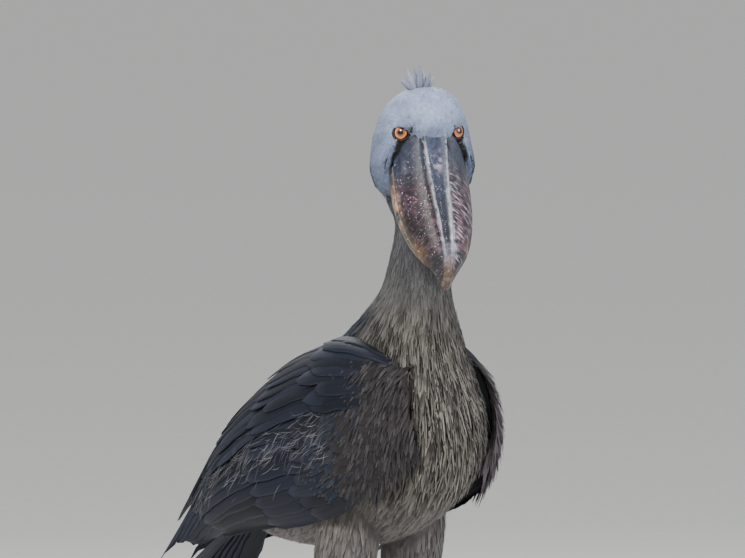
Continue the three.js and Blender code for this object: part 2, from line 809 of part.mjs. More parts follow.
function buildFlesh() {
  let head = skull().add(brow(1)).add(brow(-1)).add(crest());
  for (const side of [1, -1]) head = head.add(lidRing(side));
  const whole = head.add(trunk(0));
  const [headPart, rest] = partAt(whole, NECK_CUT_TOP);
  const [neckPart, torsoPart] = partAt(rest, NECK_CUT_FOOT);
  const billSpace = upperBill(GAP).add(lowerBill(GAP));
  let openHead = headPart.subtract(billSpace);
  for (const side of [1, -1]) {
    openHead = openHead.subtract(lidOpening(side)).subtract(eyeball(side, GAP));
  }
  addPiece("head", openHead, "crown");
  addPiece("neck", neckPart.subtract(billSpace), "plumage");
  const wingSpace = wingPlate(-7, 2, 9);
  const plumes = breastPlumes().subtract(wingSpace).subtract(mirrorX(wingSpace)).subtract(above(NECK_CUT_FOOT - GAP));
  addPiece("torso", torsoPart.add(plumes), "plumage");
}

function buildBill() {
  addPiece("bill_upper", upperBill(0), "bill");
  addPiece("bill_lower", lowerBill(0), "bill");
}

// Adds a left piece and its mirror image, each cut clear of what it rests against.
function buildPair(name, solid, finish, keepClear = []) {
  let left = solid;
  let right = mirrorX(solid);
  for (const guard of keepClear) {
    left = left.subtract(guard);
    right = right.subtract(guard);
  }
  addPiece(name + "_left", left, finish);
  addPiece(name + "_right", right, finish);
}

function wholeWing() {
  return wingPlate(WING_CORE_DEPTH, 0, WING_CORE_END).add(wingFeathers());
}

function buildWings() {
  const wing = wholeWing();
  const tailSpace = tailWedge(TAIL_SPACE);
  buildPair("wing", wing, "wing", [trunk(GAP), tailSpace]);
}

function buildTail() {
  addPiece("tail", tailRoot().add(tailFeathers()).subtract(trunk(GAP)), "wing");
}

function buildLegs() {
  const wingGuard = wingPlate(-2, 1.5, WING_CORE_END);
  const wing = wholeWing();
  const thigh = limb(THIGH, 9, 14);
  buildPair("thigh", thigh, "plumage", [trunk(GAP), wingGuard, mirrorX(wingGuard), wing, mirrorX(wing)]);
  buildPair("shank", limb(SHANK, 14, 12), "leg");
  let foot = limb([[-1, FOOT_UP, 75, 13], [0, 12, 75, 14], [0, 1, 75, 12]], 2, 10);
  for (const [name, turn, length, rootRadius, tipRadius] of TOES) {
    foot = foot.add(toeStub(turn, rootRadius));
    buildPair("toe_" + name, toe(turn, length, rootRadius, tipRadius), "leg");
    buildPair("claw_" + name, claw(turn, length, tipRadius), "claw");
  }
  buildPair("foot", foot, "leg");
}

buildFlesh();
buildBill();
addPiece("eye_left", eyeball(1, 0), "eye");
addPiece("eye_right", eyeball(-1, 0), "eye");
buildWings();
buildTail();
buildLegs();

// The origin is on the floor, under the middle of the bird's box.
const box = new THREE.Box3().setFromObject(bird);
bird.position.set(-(box.min.x + box.max.x) / 2, -(box.min.y + box.max.y) / 2, -box.min.z);

export default bird;
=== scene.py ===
"""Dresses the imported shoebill: one skin, its plumage, bill, eyes and legs, on a pale studio floor."""

import math
from functools import partial

import bmesh
import bpy
import numpy as np
from mathutils import Matrix, Vector, kdtree


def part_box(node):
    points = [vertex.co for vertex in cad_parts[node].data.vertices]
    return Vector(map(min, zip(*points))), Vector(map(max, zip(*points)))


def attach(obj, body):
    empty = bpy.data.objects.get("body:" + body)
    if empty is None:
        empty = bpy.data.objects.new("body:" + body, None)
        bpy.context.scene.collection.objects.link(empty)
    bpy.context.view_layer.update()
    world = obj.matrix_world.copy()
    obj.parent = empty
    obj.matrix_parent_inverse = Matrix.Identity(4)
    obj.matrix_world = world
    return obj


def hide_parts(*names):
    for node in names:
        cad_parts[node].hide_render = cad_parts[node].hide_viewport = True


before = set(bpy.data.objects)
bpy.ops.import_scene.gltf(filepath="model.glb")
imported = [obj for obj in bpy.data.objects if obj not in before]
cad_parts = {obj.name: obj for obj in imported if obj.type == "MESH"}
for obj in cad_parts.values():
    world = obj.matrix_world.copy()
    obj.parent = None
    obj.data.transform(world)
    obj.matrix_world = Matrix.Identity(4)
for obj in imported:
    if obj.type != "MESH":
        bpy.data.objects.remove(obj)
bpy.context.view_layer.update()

bl_info = {
    "name": "Standing shoebill",
    "version": (1, 0, 0),
    "blender": (4, 5, 0),
    "location": "View3D > Sidebar > Shoebill",
    "description": "Builds the skin, plumage, bill, eyes and legs of a life-size shoebill",
    "category": "Add Mesh",
}

MM = 0.001
TAU = 2 * math.pi

# The head's place and pose, in millimetres and degrees.
HEAD_CENTRE = (152.0, 1187.0, -18.0)
HEAD_TURN = 23.0
HEAD_TILT = 0.8
BILL_PITCH = 62.0
EYE_RADIUS = 12.5
EYE_CENTRE = (8.0, 1.0, 35.5)
EYE_LOOK = (0.36, 0.81, 0.46)
LID_SLANT = 38.0
SIDES = ((1, "left"), (-1, "right"))

# The trunk's ovals: back forward, back up, front forward, front up, half-width, widest, turn.
TRUNK = np.array([
    (92, 1152, 138, 1152, 34, 0.5, 24),
    (84, 1124, 150, 1116, 50, 0.5, 24),
    (80, 1094, 152, 1086, 49, 0.5, 20),
    (79, 1064, 156, 1056, 38, 0.5, 12),
    (76, 1038, 158, 1030, 37, 0.5, 6),
    (68, 1004, 158, 996, 41, 0.5, 0),
    (56, 972, 159, 958, 47, 0.5, 0),
    (31, 944, 164, 925, 57, 0.48, 0),
    (-3, 916, 173, 891, 68, 0.46, 0),
    (-48, 886, 189, 853, 82, 0.45, 0),
    (-100, 860, 206, 812, 95, 0.45, 0),
    (-150, 834, 212, 768, 102, 0.46, 0),
    (-192, 804, 194, 716, 104, 0.48, 0),
    (-222, 772, 146, 668, 101, 0.5, 0),
    (-240, 742, 78, 632, 93, 0.5, 0),
    (-250, 716, 0, 612, 82, 0.5, 0),
    (-257, 695, -85, 604, 66, 0.5, 0),
    (-263, 678, -160, 606, 48, 0.5, 0),
    (-268, 664, -215, 616, 30, 0.5, 0),
], dtype=float)

# The skull across the bill's axis: along, crown, throat, half-width at the brow and the cheek.
SKULL = np.array([
    (-57, 0, -14, 9, 9),
    (-51, 19, -34, 30, 32),
    (-38, 35, -58, 47, 52),
    (-20, 45, -76, 55, 63),
    (-3, 48, -85, 54, 71),
    (12, 46, -89, 49, 75),
    (21, 40, -90, 50, 77),
    (28, 30, -89, 54, 78),
    (35, 19, -87, 56, 78),
    (43, 4, -85, 56, 76),
    (56, -20, -81, 55, 71),
    (70, -38, -75, 46, 57),
    (82, -50, -66, 20, 28),
], dtype=float)

# Upper bill: along, half-width, culmen, cutting edge, half-width of the central plate.
UPPER_BILL = np.array([
    (12, 15, 27, -10, 9),
    (16, 23, 30, -13, 13),
    (19, 32, 31, -14.5, 14.5),
    (23, 40, 31, -15.5, 15),
    (32, 45.5, 30, -16.5, 14.5),
    (44, 49, 28, -18.5, 14),
    (65, 50.5, 25, -21, 12.5),
    (90, 51, 23, -22, 11),
    (115, 50, 22, -22, 9.5),
    (140, 46.5, 22, -20, 8),
    (165, 40, 21, -17, 6.5),
    (185, 32, 18, -14, 5.5),
    (199, 23, 13, -13, 4.5),
    (210, 14.5, 5, -16, 3.5),
    (219, 8.5, -6, -22, 2.5),
    (225, 4, -18, -27, 1.5),
    (228, 1.2, -25, -28.5, 0.6),
], dtype=float)
# Half of its section: share of the way aside (under 0 on the central plate) and of the height.
UPPER_SECTION = np.array([
    (-1, 0.955), (-0.7, 0.95), (-0.4, 0.955), (-0.16, 0.985), (0, 1), (0.035, 0.96), (0.07, 0.88),
    (0.11, 0.875), (0.16, 0.9), (0.28, 0.865), (0.42, 0.8), (0.55, 0.72), (0.66, 0.62),
    (0.76, 0.5), (0.84, 0.38), (0.9, 0.27), (0.94, 0.19), (0.975, 0.15), (1, 0.11), (1, 0.05),
    (0.985, 0), (0.8, 0.05), (-1, 0.06),
])
LOWER_SECTION = np.array([
    (-1, 1), (0.5, 1), (0.9, 1), (0.97, 0.985), (1, 0.93), (1, 0.78), (0.985, 0.62), (0.95, 0.44),
    (0.9, 0.3), (0.81, 0.17), (0.68, 0.08), (0.5, 0.03), (0.3, 0), (-1, 0.03),
])
LOWER_BILL = np.array([
    (6, 44, -14, -60),
    (21, 47, -15, -62),
    (42, 51, -18, -62),
    (65, 52.5, -21, -59),
    (90, 53, -22, -55.5),
    (115, 51.5, -22, -51),
    (140, 47.5, -20, -45),
    (165, 40.5, -17, -37),
    (185, 31, -14, -29),
    (196, 22, -13, -24),
    (203, 13, -14.5, -20),
], dtype=float)
MOUTH_GAP = 0.6

# Outer face of the folded wing: forward, up, out of its upper edge, fullest line, lower edge.
WING = np.array([
    (154, 866, 62, 176, 808, 74, 176, 750, 60),
    (108, 886, 76, 142, 800, 112, 150, 708, 86),
    (44, 894, 74, 72, 790, 127, 90, 674, 102),
    (-38, 880, 46, -14, 775, 130, 10, 652, 106),
    (-118, 856, 24, -98, 752, 124, -75, 640, 100),
    (-192, 820, 10, -178, 724, 108, -160, 628, 86),
    (-250, 774, 7, -246, 692, 86, -235, 612, 68),
    (-306, 710, 9, -308, 650, 62, -305, 594, 50),
    (-362, 642, 13, -366, 607, 42, -365, 576, 36),
    (-426, 566, 19, -429, 562, 23, -428, 558, 21),
], dtype=float)
WING_THICKNESS = (14, 25, 27, 25, 21, 17, 12, 8, 6, 3)
WING_DEPTH = 230.0
CORE_DEPTH = 2.2

# Legs, for the left side: forward, up, out, radius.
THIGH = np.array([
    (34, 690, 52, 44), (30, 640, 54, 46), (20, 580, 58, 42), (6, 510, 62, 34),
    (-6, 445, 65, 25), (-12, 400, 66, 18), (-15, 378, 67, 13.5),
], dtype=float)
SHANK = np.array([
    (-15, 384, 67, 10.2), (-19, 330, 68, 9.8), (-24, 288, 69, 11.3), (-26, 262, 70, 14.7),
    (-24, 236, 70.5, 11.8), (-18, 180, 71.5, 9.3), (-9, 100, 73, 9.3), (-3, 45, 74.5, 11.3),
    (-1, 24, 75, 13), (0, 12, 75, 13.6), (0, 1.5, 75, 11.5),
], dtype=float)
TOES = (
    ("middle", 6, 122, 9.8, 6.5),
    ("inner", -25, 84, 9, 6),
    ("outer", 38, 92, 9, 6),
    ("hind", 188, 44, 8.2, 6),
)
TOE_START = 39.0
TOE_HEIGHT = 0.78
CLAW_LENGTH = 23.0
FOOT_OUT = 75.0

TAIL_ROOT = (-244.0, 652.0)
TAIL_DROOP = 38.0


# Places in the body and the head


def at(forward, up, left):
    """A point of the body in millimetres, from forward, up and left."""
    return np.array([left, -forward, up], dtype=float)


def head_axes():
    """Columns: along the bill, over it, and aside to the bird's left."""
    turn = Matrix.Rotation(-math.radians(HEAD_TURN), 3, "Z")
    tilt = Matrix.Rotation(-math.radians(HEAD_TILT), 3, "Y")
    pitch = Matrix.Rotation(math.radians(BILL_PITCH), 3, "X")
    whole = turn @ tilt @ pitch
    along = whole @ Vector((0, -1, 0))
    over = whole @ Vector((0, 0, 1))
    aside = whole @ Vector((1, 0, 0))
    return np.array([along, over, aside]).T


HEAD_AXES = head_axes()
HEAD_PLACE = at(*HEAD_CENTRE)


def on_head(along, over, aside):
    """Head coordinates, single or as arrays, to body points."""
    local = np.stack(np.broadcast_arrays(along, over, aside), -1).astype(float)
    return local @ HEAD_AXES.T + HEAD_PLACE


def to_head(points):
    """Body points to along, over and aside."""
    return (points - HEAD_PLACE) @ HEAD_AXES


def eye_axes(side):
    """Centre of an eye, and its look and two cross directions."""
    centre = on_head(EYE_CENTRE[0], EYE_CENTRE[1], side * EYE_CENTRE[2])
    look = HEAD_AXES @ np.array([EYE_LOOK[0], EYE_LOOK[1], side * EYE_LOOK[2]])
    look /= np.linalg.norm(look)
    up = -HEAD_AXES[:, 0]
    right = np.cross(up, look)
    right /= np.linalg.norm(right)
    return centre, look, right, np.cross(look, right)


def inner_way(right, side):
    """1 where an eye's cross direction points to the bill's middle line, otherwise -1."""
    return 1.0 if np.dot(right, -side * HEAD_AXES[:, 2]) > 0 else -1.0


def frame_shift():
    """How far the frame's origin lies from the body's own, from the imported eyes."""
    total = np.zeros(3)
    for name, side in (("eye_left", 1), ("eye_right", -1)):
        low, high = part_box(name)
        total += (np.array(low) + np.array(high)) / 2 / MM - eye_axes(side)[0]
    return np.array([0.0, total[1] / 2, 0.0])


SHIFT = frame_shift()


def smooth_rows(rows, places):
    """Catmull-Rom values of a table at many places."""
    rows = np.asarray(rows, float)
    last = len(rows) - 1
    places = np.asarray(places, float)
    i = np.clip(np.floor(places).astype(int), 0, last - 1)
    s = (places - i)[..., None]
    before, start = rows[np.maximum(i - 1, 0)], rows[i]
    end, after = rows[i + 1], rows[np.minimum(i + 2, last)]
    leave, arrive, rise = (end - before) / 2, (after - start) / 2, end - start
    return start + s * (leave + s * (3 * rise - 2 * leave - arrive + s * (leave + arrive - 2 * rise)))


def unit(vectors):
    """Vectors scaled to a length of one."""
    length = np.linalg.norm(vectors, axis=-1, keepdims=True)
    return vectors / np.maximum(length, 1e-9)


def ease(value, start, end):
    """Smooth step from 0 at start to 1 at end."""
    share = np.clip((value - start) / (end - start), 0, 1)
    return share * share * (3 - 2 * share)


def trunk_points(place, angle, grow=0.0):
    """Points on the trunk at a station and an angle round it, in millimetres."""
    place, angle = np.broadcast_arrays(np.asarray(place, float), np.asarray(angle, float))
    row = smooth_rows(TRUNK, place)
    back = np.stack([0 * row[..., 0], -row[..., 0], row[..., 1]], -1)
    front = np.stack([0 * row[..., 0], -row[..., 2], row[..., 3]], -1)
    out = unit(back - front) * grow
    back, front = back + out, front - out
    middle = front + (back - front) * row[..., 5:6]
    rise = np.sin(angle)[..., None]
    point = np.where(rise > 0, middle + (back - middle) * rise, middle + (front - middle) * -rise)
    local = point - middle
    local[..., 0] += (row[..., 4] + grow) * np.cos(angle)
    turn = -np.radians(row[..., 6])
    c, s = np.cos(turn), np.sin(turn)
    x = local[..., 0] * c - local[..., 1] * s
    y = local[..., 0] * s + local[..., 1] * c
    return middle + np.stack([x, y, local[..., 2]], -1)


def skull_points(place, angle, grow=0.0):
    """Points on the skull at a station and an angle round it, in millimetres."""
    place, angle = np.broadcast_arrays(np.asarray(place, float), np.asarray(angle, float))
    row = smooth_rows(SKULL, place)
    rise = np.sin(angle)
    share = ease(rise, -0.45, 0.5)
    half = row[..., 4] + (row[..., 3] - row[..., 4]) * share + grow
    over = row[..., 2] - grow + (row[..., 1] - row[..., 2] + 2 * grow) * (1 + rise) / 2
    return on_head(row[..., 0], over, half * np.cos(angle))


def wing_points(u, v):
    """Points on the left wing's outer face, in millimetres."""
    u, v = np.broadcast_arrays(np.asarray(u, float), np.asarray(v, float))
    row = smooth_rows(WING, np.clip(u, 0, 9))
    upper, full, lower = (np.stack([row[..., k + 2], -row[..., k], row[..., k + 1]], -1) for k in (0, 3, 6))
    chord = upper + (lower - upper) * v[..., None]
    share = np.maximum(1 - (2 * v - 1) ** 2, 0) ** 0.72
    point = chord + (full - (upper + lower) / 2) * share[..., None]
    over_back = upper + np.array([-0.95, 0, 0.3]) * (-v * WING_DEPTH)[..., None]
    # Past its last station the face goes straight on.
    past = np.maximum(u - 9, 0)[..., None] * np.array([2.0, 64.0, -76.0])
    return np.where(v[..., None] < 0, over_back, point) + past


def wing_normals(u, v):
    """Outward directions of the left wing's face."""
    step = 0.04
    middle = np.clip(v, 0.08, 0.92)
    along = wing_points(np.minimum(u + step, 9), middle) - wing_points(np.maximum(u - step, 0), middle)
    across = wing_points(u, middle + step) - wing_points(u, middle - step)
    normal = unit(np.cross(along, across))
    return np.where(normal[..., :1] < 0, -normal, normal)


# Meshes


def grid_faces(rings, around, closed=True):
    """Quads of a tube of rings, as rows of four vertex numbers."""
    r, k = np.meshgrid(np.arange(rings - 1), np.arange(around if closed else around - 1), indexing="ij")
    nxt = (k + 1) % around
    a = r * around + k
    b = r * around + nxt
    return np.stack([a, b, b + around, a + around], -1).reshape(-1, 4)


def tube(points):
    """Vertices and faces of a closed tube from an array of rings, with a fan over each end."""
    rings, around = points.shape[:2]
    verts = list(points.reshape(-1, 3))
    faces = [tuple(f) for f in grid_faces(rings, around)]
    for start, turn in ((0, False), ((rings - 1) * around, True)):
        hub = len(verts)
        verts.append(points[start // around].mean(0))
        for k in range(around):
            a, b = start + k, start + (k + 1) % around
            faces.append((hub, a, b) if turn else (hub, b, a))
    return np.array(verts), faces


def link_object(name, data):
    """An object for a mesh, lamp or camera, linked to the scene."""
    obj = bpy.data.objects.new(name, data)
    bpy.context.collection.objects.link(obj)
    return obj


def new_object(name, verts, faces, materials, smooth=True):
    """A mesh object from millimetre points, set in the frame."""
    mesh = bpy.data.meshes.new(name)
    mesh.from_pydata(((np.asarray(verts) + SHIFT) * MM).tolist(), [], [tuple(map(int, f)) for f in faces])
    mesh.validate()
    for material in materials:
        mesh.materials.append(material)
    if smooth:
        mesh.polygons.foreach_set("use_smooth", np.ones(len(mesh.polygons), bool))
    return link_object(name, mesh)


def face_outwards(obj):
    """Turns every face of a closed mesh outwards."""
    work = bmesh.new()
    work.from_mesh(obj.data)
    bmesh.ops.recalc_face_normals(work, faces=work.faces)
    work.to_mesh(obj.data)
    work.free()


def place_piece(obj, slot, *nodes):
    """Parents a piece to the bird's one body and hides the nodes it stands for."""
    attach(obj, "root")
    if nodes:
        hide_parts(*nodes)
    return obj


def apply_modifiers(obj):
    """Bakes an object's modifiers into its mesh."""
    graph = bpy.context.evaluated_depsgraph_get()
    done = bpy.data.meshes.new_from_object(obj.evaluated_get(graph))
    old = obj.data
    obj.modifiers.clear()
    obj.data = done
    bpy.data.meshes.remove(old)


def join_parts(parts):
    """Several lots of vertices and faces as one."""
    verts, faces, start = [], [], 0
    for part_verts, part_faces in parts:
        verts.append(part_verts)
        faces += [tuple(i + start for i in face) for face in part_faces]
        start += len(part_verts)
    return np.concatenate(verts), faces


def closed_object(name, shape, key):
    """A closed object from its vertices and faces, turned outwards, in one material."""
    obj = new_object(name, *shape, [material_for(key)])
    face_outwards(obj)
    return obj


def mesh_points(obj):
    """An object's vertices in body millimetres."""
    flat = np.empty(len(obj.data.vertices) * 3)
    obj.data.vertices.foreach_get("co", flat)
    return flat.reshape(-1, 3) / MM - SHIFT


def paint(obj, name, colours, domain="POINT"):
    """Stores linear colours on a mesh."""
    layer = obj.data.color_attributes.new(name, "FLOAT_COLOR", domain)
    full = np.ones((len(colours), 4), np.float32)
    full[:, :3] = colours
    layer.data.foreach_set("color", full.ravel())


def ellipsoid(centre, axes, sizes, around=32, down=20):
    """A closed ellipsoid: centre, a matrix of axis columns and three half-sizes."""
    t = np.linspace(0.04, math.pi - 0.04, down)[:, None]
    a = (np.arange(around) * TAU / around)[None, :]
    local = np.stack([np.sin(t) * np.cos(a), np.sin(t) * np.sin(a), np.cos(t) + 0 * a], -1)
    return tube((local * sizes) @ np.asarray(axes).T + centre)


# Colours


def linear(code):
    """A linear colour from sRGB hex."""
    parts = [int(code[i:i + 2], 16) / 255 for i in (1, 3, 5)]
    return np.array([p / 12.92 if p <= 0.04045 else ((p + 0.055) / 1.055) ** 2.4 for p in parts])


def mix(a, b, share):
    """Blends colours by a share, single or per point."""
    share = np.asarray(share)[..., None]
    return a + (b - a) * share


def noise(points, size, seed=0):
    """Smooth value noise from 0 to 1 at points in millimetres, with features of one size."""
    p = points / size + seed * 17.13
    cell = np.floor(p).astype(np.int64)
    f = p - cell
    f = f * f * (3 - 2 * f)
    total = np.zeros(len(points))
    for dx in (0, 1):
        for dy in (0, 1):
            for dz in (0, 1):
                key = (cell[:, 0] + dx) * 73856093 ^ (cell[:, 1] + dy) * 19349663
                key = key ^ (cell[:, 2] + dz) * 83492791
                key = (key * 2654435761 + seed * 977) & 0xFFFFFFFF
                key = ((key ^ (key >> 15)) * 2246822519) & 0xFFFFFFFF
                value = ((key ^ (key >> 13)) & 0xFFFFFF) / 0xFFFFFF
                wx = f[:, 0] if dx else 1 - f[:, 0]
                wy = f[:, 1] if dy else 1 - f[:, 1]
                wz = f[:, 2] if dz else 1 - f[:, 2]
                total += value * wx * wy * wz
    return total


def tone(name, group="shoebill_plumage"):
    """A colour from the add-on's settings, as three linear parts."""
    return np.array(getattr(getattr(bpy.context.scene, group), name))


def millimetres(name, group="shoebill_plumage"):
    """A length from the add-on's settings."""
    return round(getattr(getattr(bpy.context.scene, group), name) / MM, 3)


def lore_mask(local):
    """1 on the bare dark skin round an eye and between it and the bill, in head coordinates."""
    along, over, aside = local[:, 0], local[:, 1], np.abs(local[:, 2])
    look = unit(np.array(EYE_LOOK))
    offset = np.stack([along - 12, over - 1, aside - 35], -1)
    away = np.linalg.norm(offset - look * (offset @ look)[:, None], axis=-1)
    ring = (1 - ease(away, 10.0, 12.5)) * ease(offset @ look, -9, -3)
    line = 33 + (along - 14) * 0.62
    wide = np.interp(along, (12, 20, 45), (9, 8.5, 3.5))
    wedge = (1 - ease(np.abs(aside - line), wide - 2, wide + 1.5)) * ease(along, 10, 15)
    wedge = wedge * (1 - ease(along, 40, 50)) * ease(over, -34, -22)
    return np.clip(np.maximum(ring, wedge), 0, 1)


def plumage_colour(points):
    """The bird's markings at body points: the same for its skin and its coat."""
    head = to_head(points)
    along, over = head[:, 0], head[:, 1]
    z = points[:, 2]
    blotch = noise(points, 11, 3)
    patch = noise(points, 27, 4)
    fine = noise(points, 3.0, 5)
    # The neck, nape and cheek tones are partly painted shade below and beside the bill, so the face's paling
    # towards the crown is partly painted light and shade.
    colour = mix(tone("neck"), tone("breast"), ease(z, 1010, 900))
    back = back_share(points)
    side = ease(np.abs(points[:, 0]), 42, 74)
    side = side * ease(z, 960, 900) * ease(z, 640, 760)
    colour = mix(colour, tone("shoulder"), side * 0.8)
    colour = mix(colour, tone("mantle"), back)
    colour = mix(colour, tone("belly"), ease(z, 730, 660) * (1 - back))
    colour = mix(colour, tone("thigh"), ease(z, 640, 560))
    colour = mix(colour, tone("nape"), ease(z, 1030, 1090))
    face = mix(tone("nape"), tone("cheek"), ease(over, -85, -35))
    face = mix(face, tone("crown"), ease(over, -30, 15) * ease(along, 40, 12))
    colour = mix(colour, face, ease(z, 1085, 1120))
    colour = mix(colour, linear("#7A87AE"), ease(patch, 0.55, 0.8) * ease(z, 1120, 1150) * 0.4)
    specks = ease(fine, 0.82, 0.9) * ease(over, -10, 10) * ease(z, 1130, 1160)
    colour = mix(colour, linear("#4C526A"), specks * 0.6)
    colour = colour * (0.8 + 0.4 * blotch)[:, None] * (0.9 + 0.2 * noise(points, 4.5, 6))[:, None]
    scurf = ease(noise(points, 1.7, 8), 0.75, 0.9) * 0.3
    bare = mix(linear("#1D1B1C"), linear("#A3A1A4"), scurf)
    return mix(colour, bare, lore_mask(head))


def back_share(points):
    """1 on the mantle and back, 0 on the breast and belly."""
    forward, z = -points[:, 1], points[:, 2]
    return ease(forward - (z - 905) * 0.9, 80, 35) * ease(z, 975, 935)


# Materials


KERATIN_IOR = 1.54
# At scale 1 a wave texture repeats after this share of its coordinate.
WAVE_PERIOD = TAU / 20
MULTIPLY = {"data_type": "RGBA", "blend_type": "MULTIPLY"}
LIGHTEN = {"data_type": "RGBA", "blend_type": "LIGHTEN"}
BLEND = {"data_type": "RGBA", "blend_type": "MIX"}


def four(colour):
    """A colour, or one number for a grey, as the four parts that a colour socket takes."""
    return (*np.broadcast_to(np.asarray(colour, float), 3).tolist(), 1.0)


def per_metre(size):
    """A texture's scale from the size of one of its features in millimetres."""
    return 1 / (size * MM)


def main_output(source):
    """The first output of a node, the colour of a mix, or an output as it is."""
    if not hasattr(source, "outputs"):
        return source
    return source.outputs[2 if source.bl_idname == "ShaderNodeMix" else 0]


def add_node(tree, kind, settings=None, links=None, to=None):
    """Adds a shader node, sets its properties, sockets or colour stops, and links its sockets."""
    node = tree.nodes.new("ShaderNode" + kind)
    for key, value in (settings or {}).items():
        if key == "stops":
            elements = node.color_ramp.elements
            elements.remove(elements[1])
            elements[0].position = value[0][0]
            elements[0].color = four(value[0][1])
            for place, colour in value[1:]:
                elements.new(place).color = four(colour)
        elif isinstance(key, str) and hasattr(node, key):
            setattr(node, key, value)
        else:
            node.inputs[key].default_value = value
    for key, source in (links or {}).items():
        tree.links.new(main_output(source), node.inputs[key])
    if to:
        tree.links.new(main_output(node), to)
    return node


def new_material(name):
    """An empty Principled material, what adds its nodes, and its shader."""
    material = bpy.data.materials.new(name)
    material.use_nodes = True
    tree = material.node_tree
    return material, partial(add_node, tree), tree.nodes["Principled BSDF"]


def feather_material(name, roughness, sheen, vane, barbs, root_grey_and_shade, edge_share, edge_code):
    """Keratin vanes of parallel barbs: dull along the barbs, with a soft edge and a dark shaft.

    The barbs are really 0.2 to 0.3 mm apart, too fine to show, so they are drawn as coarse as the
    render needs: vane is a feather's length and barbs their spacing, in millimetres.
    """
    material, add, shader = new_material(name)
    shader.inputs["Roughness"].default_value = roughness
    shader.inputs["IOR"].default_value = KERATIN_IOR
    shader.inputs["Sheen Weight"].default_value = sheen
    shader.inputs["Sheen Roughness"].default_value = 0.45
    # Light sinks in between the barbs, so little of it comes straight back.
    shader.inputs["Specular IOR Level"].default_value = 0.11
    coat = add("Attribute", {"attribute_name": "Coat"})
    place = add("Attribute", {"attribute_name": "Vane"})
    parts = add("SeparateXYZ", None, {0: place.outputs["Vector"]})
    along = parts.outputs["Y"]
    aside = add("Math", {"operation": "ABSOLUTE"}, {0: parts.outputs["X"]})
    # The barbs run slantwise from the shaft to the edge.
    slant = add("Math", {"operation": "MULTIPLY_ADD", 1: -0.12}, {0: aside, 2: along})
    line = add("CombineXYZ", None, {0: slant})
    waves = {"Scale": WAVE_PERIOD * vane / barbs, "Distortion": 1.5, "Detail": 2.0, "Detail Scale": 2.0}
    barb = add("TexWave", waves, {"Vector": line})
    # Darker towards the root: partly the downy base's own grey, partly painted shade where the neighbouring
    # vanes cover it.
    root = add("ValToRGB", {"stops": ((0, root_grey_and_shade), (0.5, 0.95), (1, 1))}, {0: along})
    shaded = add("Mix", {**MULTIPLY, 0: 1.0}, {6: coat.outputs["Color"], 7: root})
    stripe = add("ValToRGB", {"stops": ((0.2, 0.86), (0.8, 1.05))}, {0: barb.outputs["Fac"]})
    lined = add("Mix", {**MULTIPLY, 0: 0.6}, {6: shaded, 7: stripe})
    # The worn rim and tip are paler than the rest.
    edge = add("ValToRGB", {"stops": ((0, 0), (0.72, 0), (1, 1))}, {0: aside})
    tip = add("ValToRGB", {"stops": ((0, 0), (0.82, 0), (1, 1))}, {0: along})
    rim = add("Mix", {**LIGHTEN, 0: 1.0}, {6: edge, 7: tip})
    worn = add("Math", {"operation": "MULTIPLY", 1: edge_share}, {0: rim})
    pale = {**BLEND, 7: four(linear(edge_code))}
    edged = add("Mix", pale, {0: worn, 6: lined})
    shaft = add("ValToRGB", {"stops": ((0, 0.55), (0.05, 0.6), (0.09, 1))}, {0: aside})
    add("Mix", {**MULTIPLY, 0: 0.6}, {6: edged, 7: shaft}, shader.inputs["Base Color"])
    relief = {"Strength": 0.6, "Distance": 0.3 * MM}
    add("Bump", relief, {"Height": barb.outputs["Fac"]}, shader.inputs["Normal"])
    return material


def skin_material():
    """Skin set with down and pin feathers: dull and fine-grained, and dark in the gaps of the coat, where its
    darkened coat colour is painted shade.
    """
    material, add, shader = new_material("Downy skin, short set feathers")
    shader.inputs["Roughness"].default_value = 0.85
    shader.inputs["IOR"].default_value = 1.5
    shader.inputs["Specular IOR Level"].default_value = 0.15
    coat = add("Attribute", {"attribute_name": "Coat"})
    place = add("TexCoord").outputs["Object"]
    pins = {"Scale": per_metre(1.11), "Detail": 4.0, "Roughness": 0.6}
    fine = add("TexNoise", pins, {"Vector": place})
    folds = {"Scale": per_metre(8.33), "Detail": 3.0, "Roughness": 0.6}
    broad = add("TexNoise", folds, {"Vector": place})
    speckle = add("ValToRGB", {"stops": ((0.3, 0.6), (0.7, 1.15))}, {0: fine.outputs["Fac"]})
    cloud = add("ValToRGB", {"stops": ((0.35, 0.8), (0.65, 1.1))}, {0: broad.outputs["Fac"]})
    shaded = add("Mix", {**MULTIPLY, 0: 0.8}, {6: coat.outputs["Color"], 7: speckle})
    add("Mix", {**MULTIPLY, 0: 0.6}, {6: shaded, 7: cloud}, shader.inputs["Base Color"])
    relief = {"Strength": 0.7, "Distance": 0.8 * MM}
    add("Bump", relief, {"Height": fine.outputs["Fac"]}, shader.inputs["Normal"])
    return material


def lid_material():
    """Bare dark skin of lids and nostrils: finely folded and a little damp, so it catches small lights."""
    material, add, shader = new_material("Bare dark skin, folded and damp")
    shader.inputs["Roughness"].default_value = 0.48
    shader.inputs["IOR"].default_value = 1.4
    place = add("TexCoord").outputs["Object"]
    creases = {"Scale": per_metre(1.43), "Detail": 3.0, "Roughness": 0.6, "Distortion": 1.2}
    folds = add("TexNoise", creases, {"Vector": place})
    tones = ((0.3, linear("#0D0C0C")), (0.62, linear("#242020")), (0.8, linear("#4F4A48")))
    add("ValToRGB", {"stops": tones}, {0: folds.outputs["Fac"]}, shader.inputs["Base Color"])
    relief = {"Strength": 0.8, "Distance": 0.8 * MM}
    add("Bump", relief, {"Height": folds.outputs["Fac"]}, shader.inputs["Normal"])
    return material


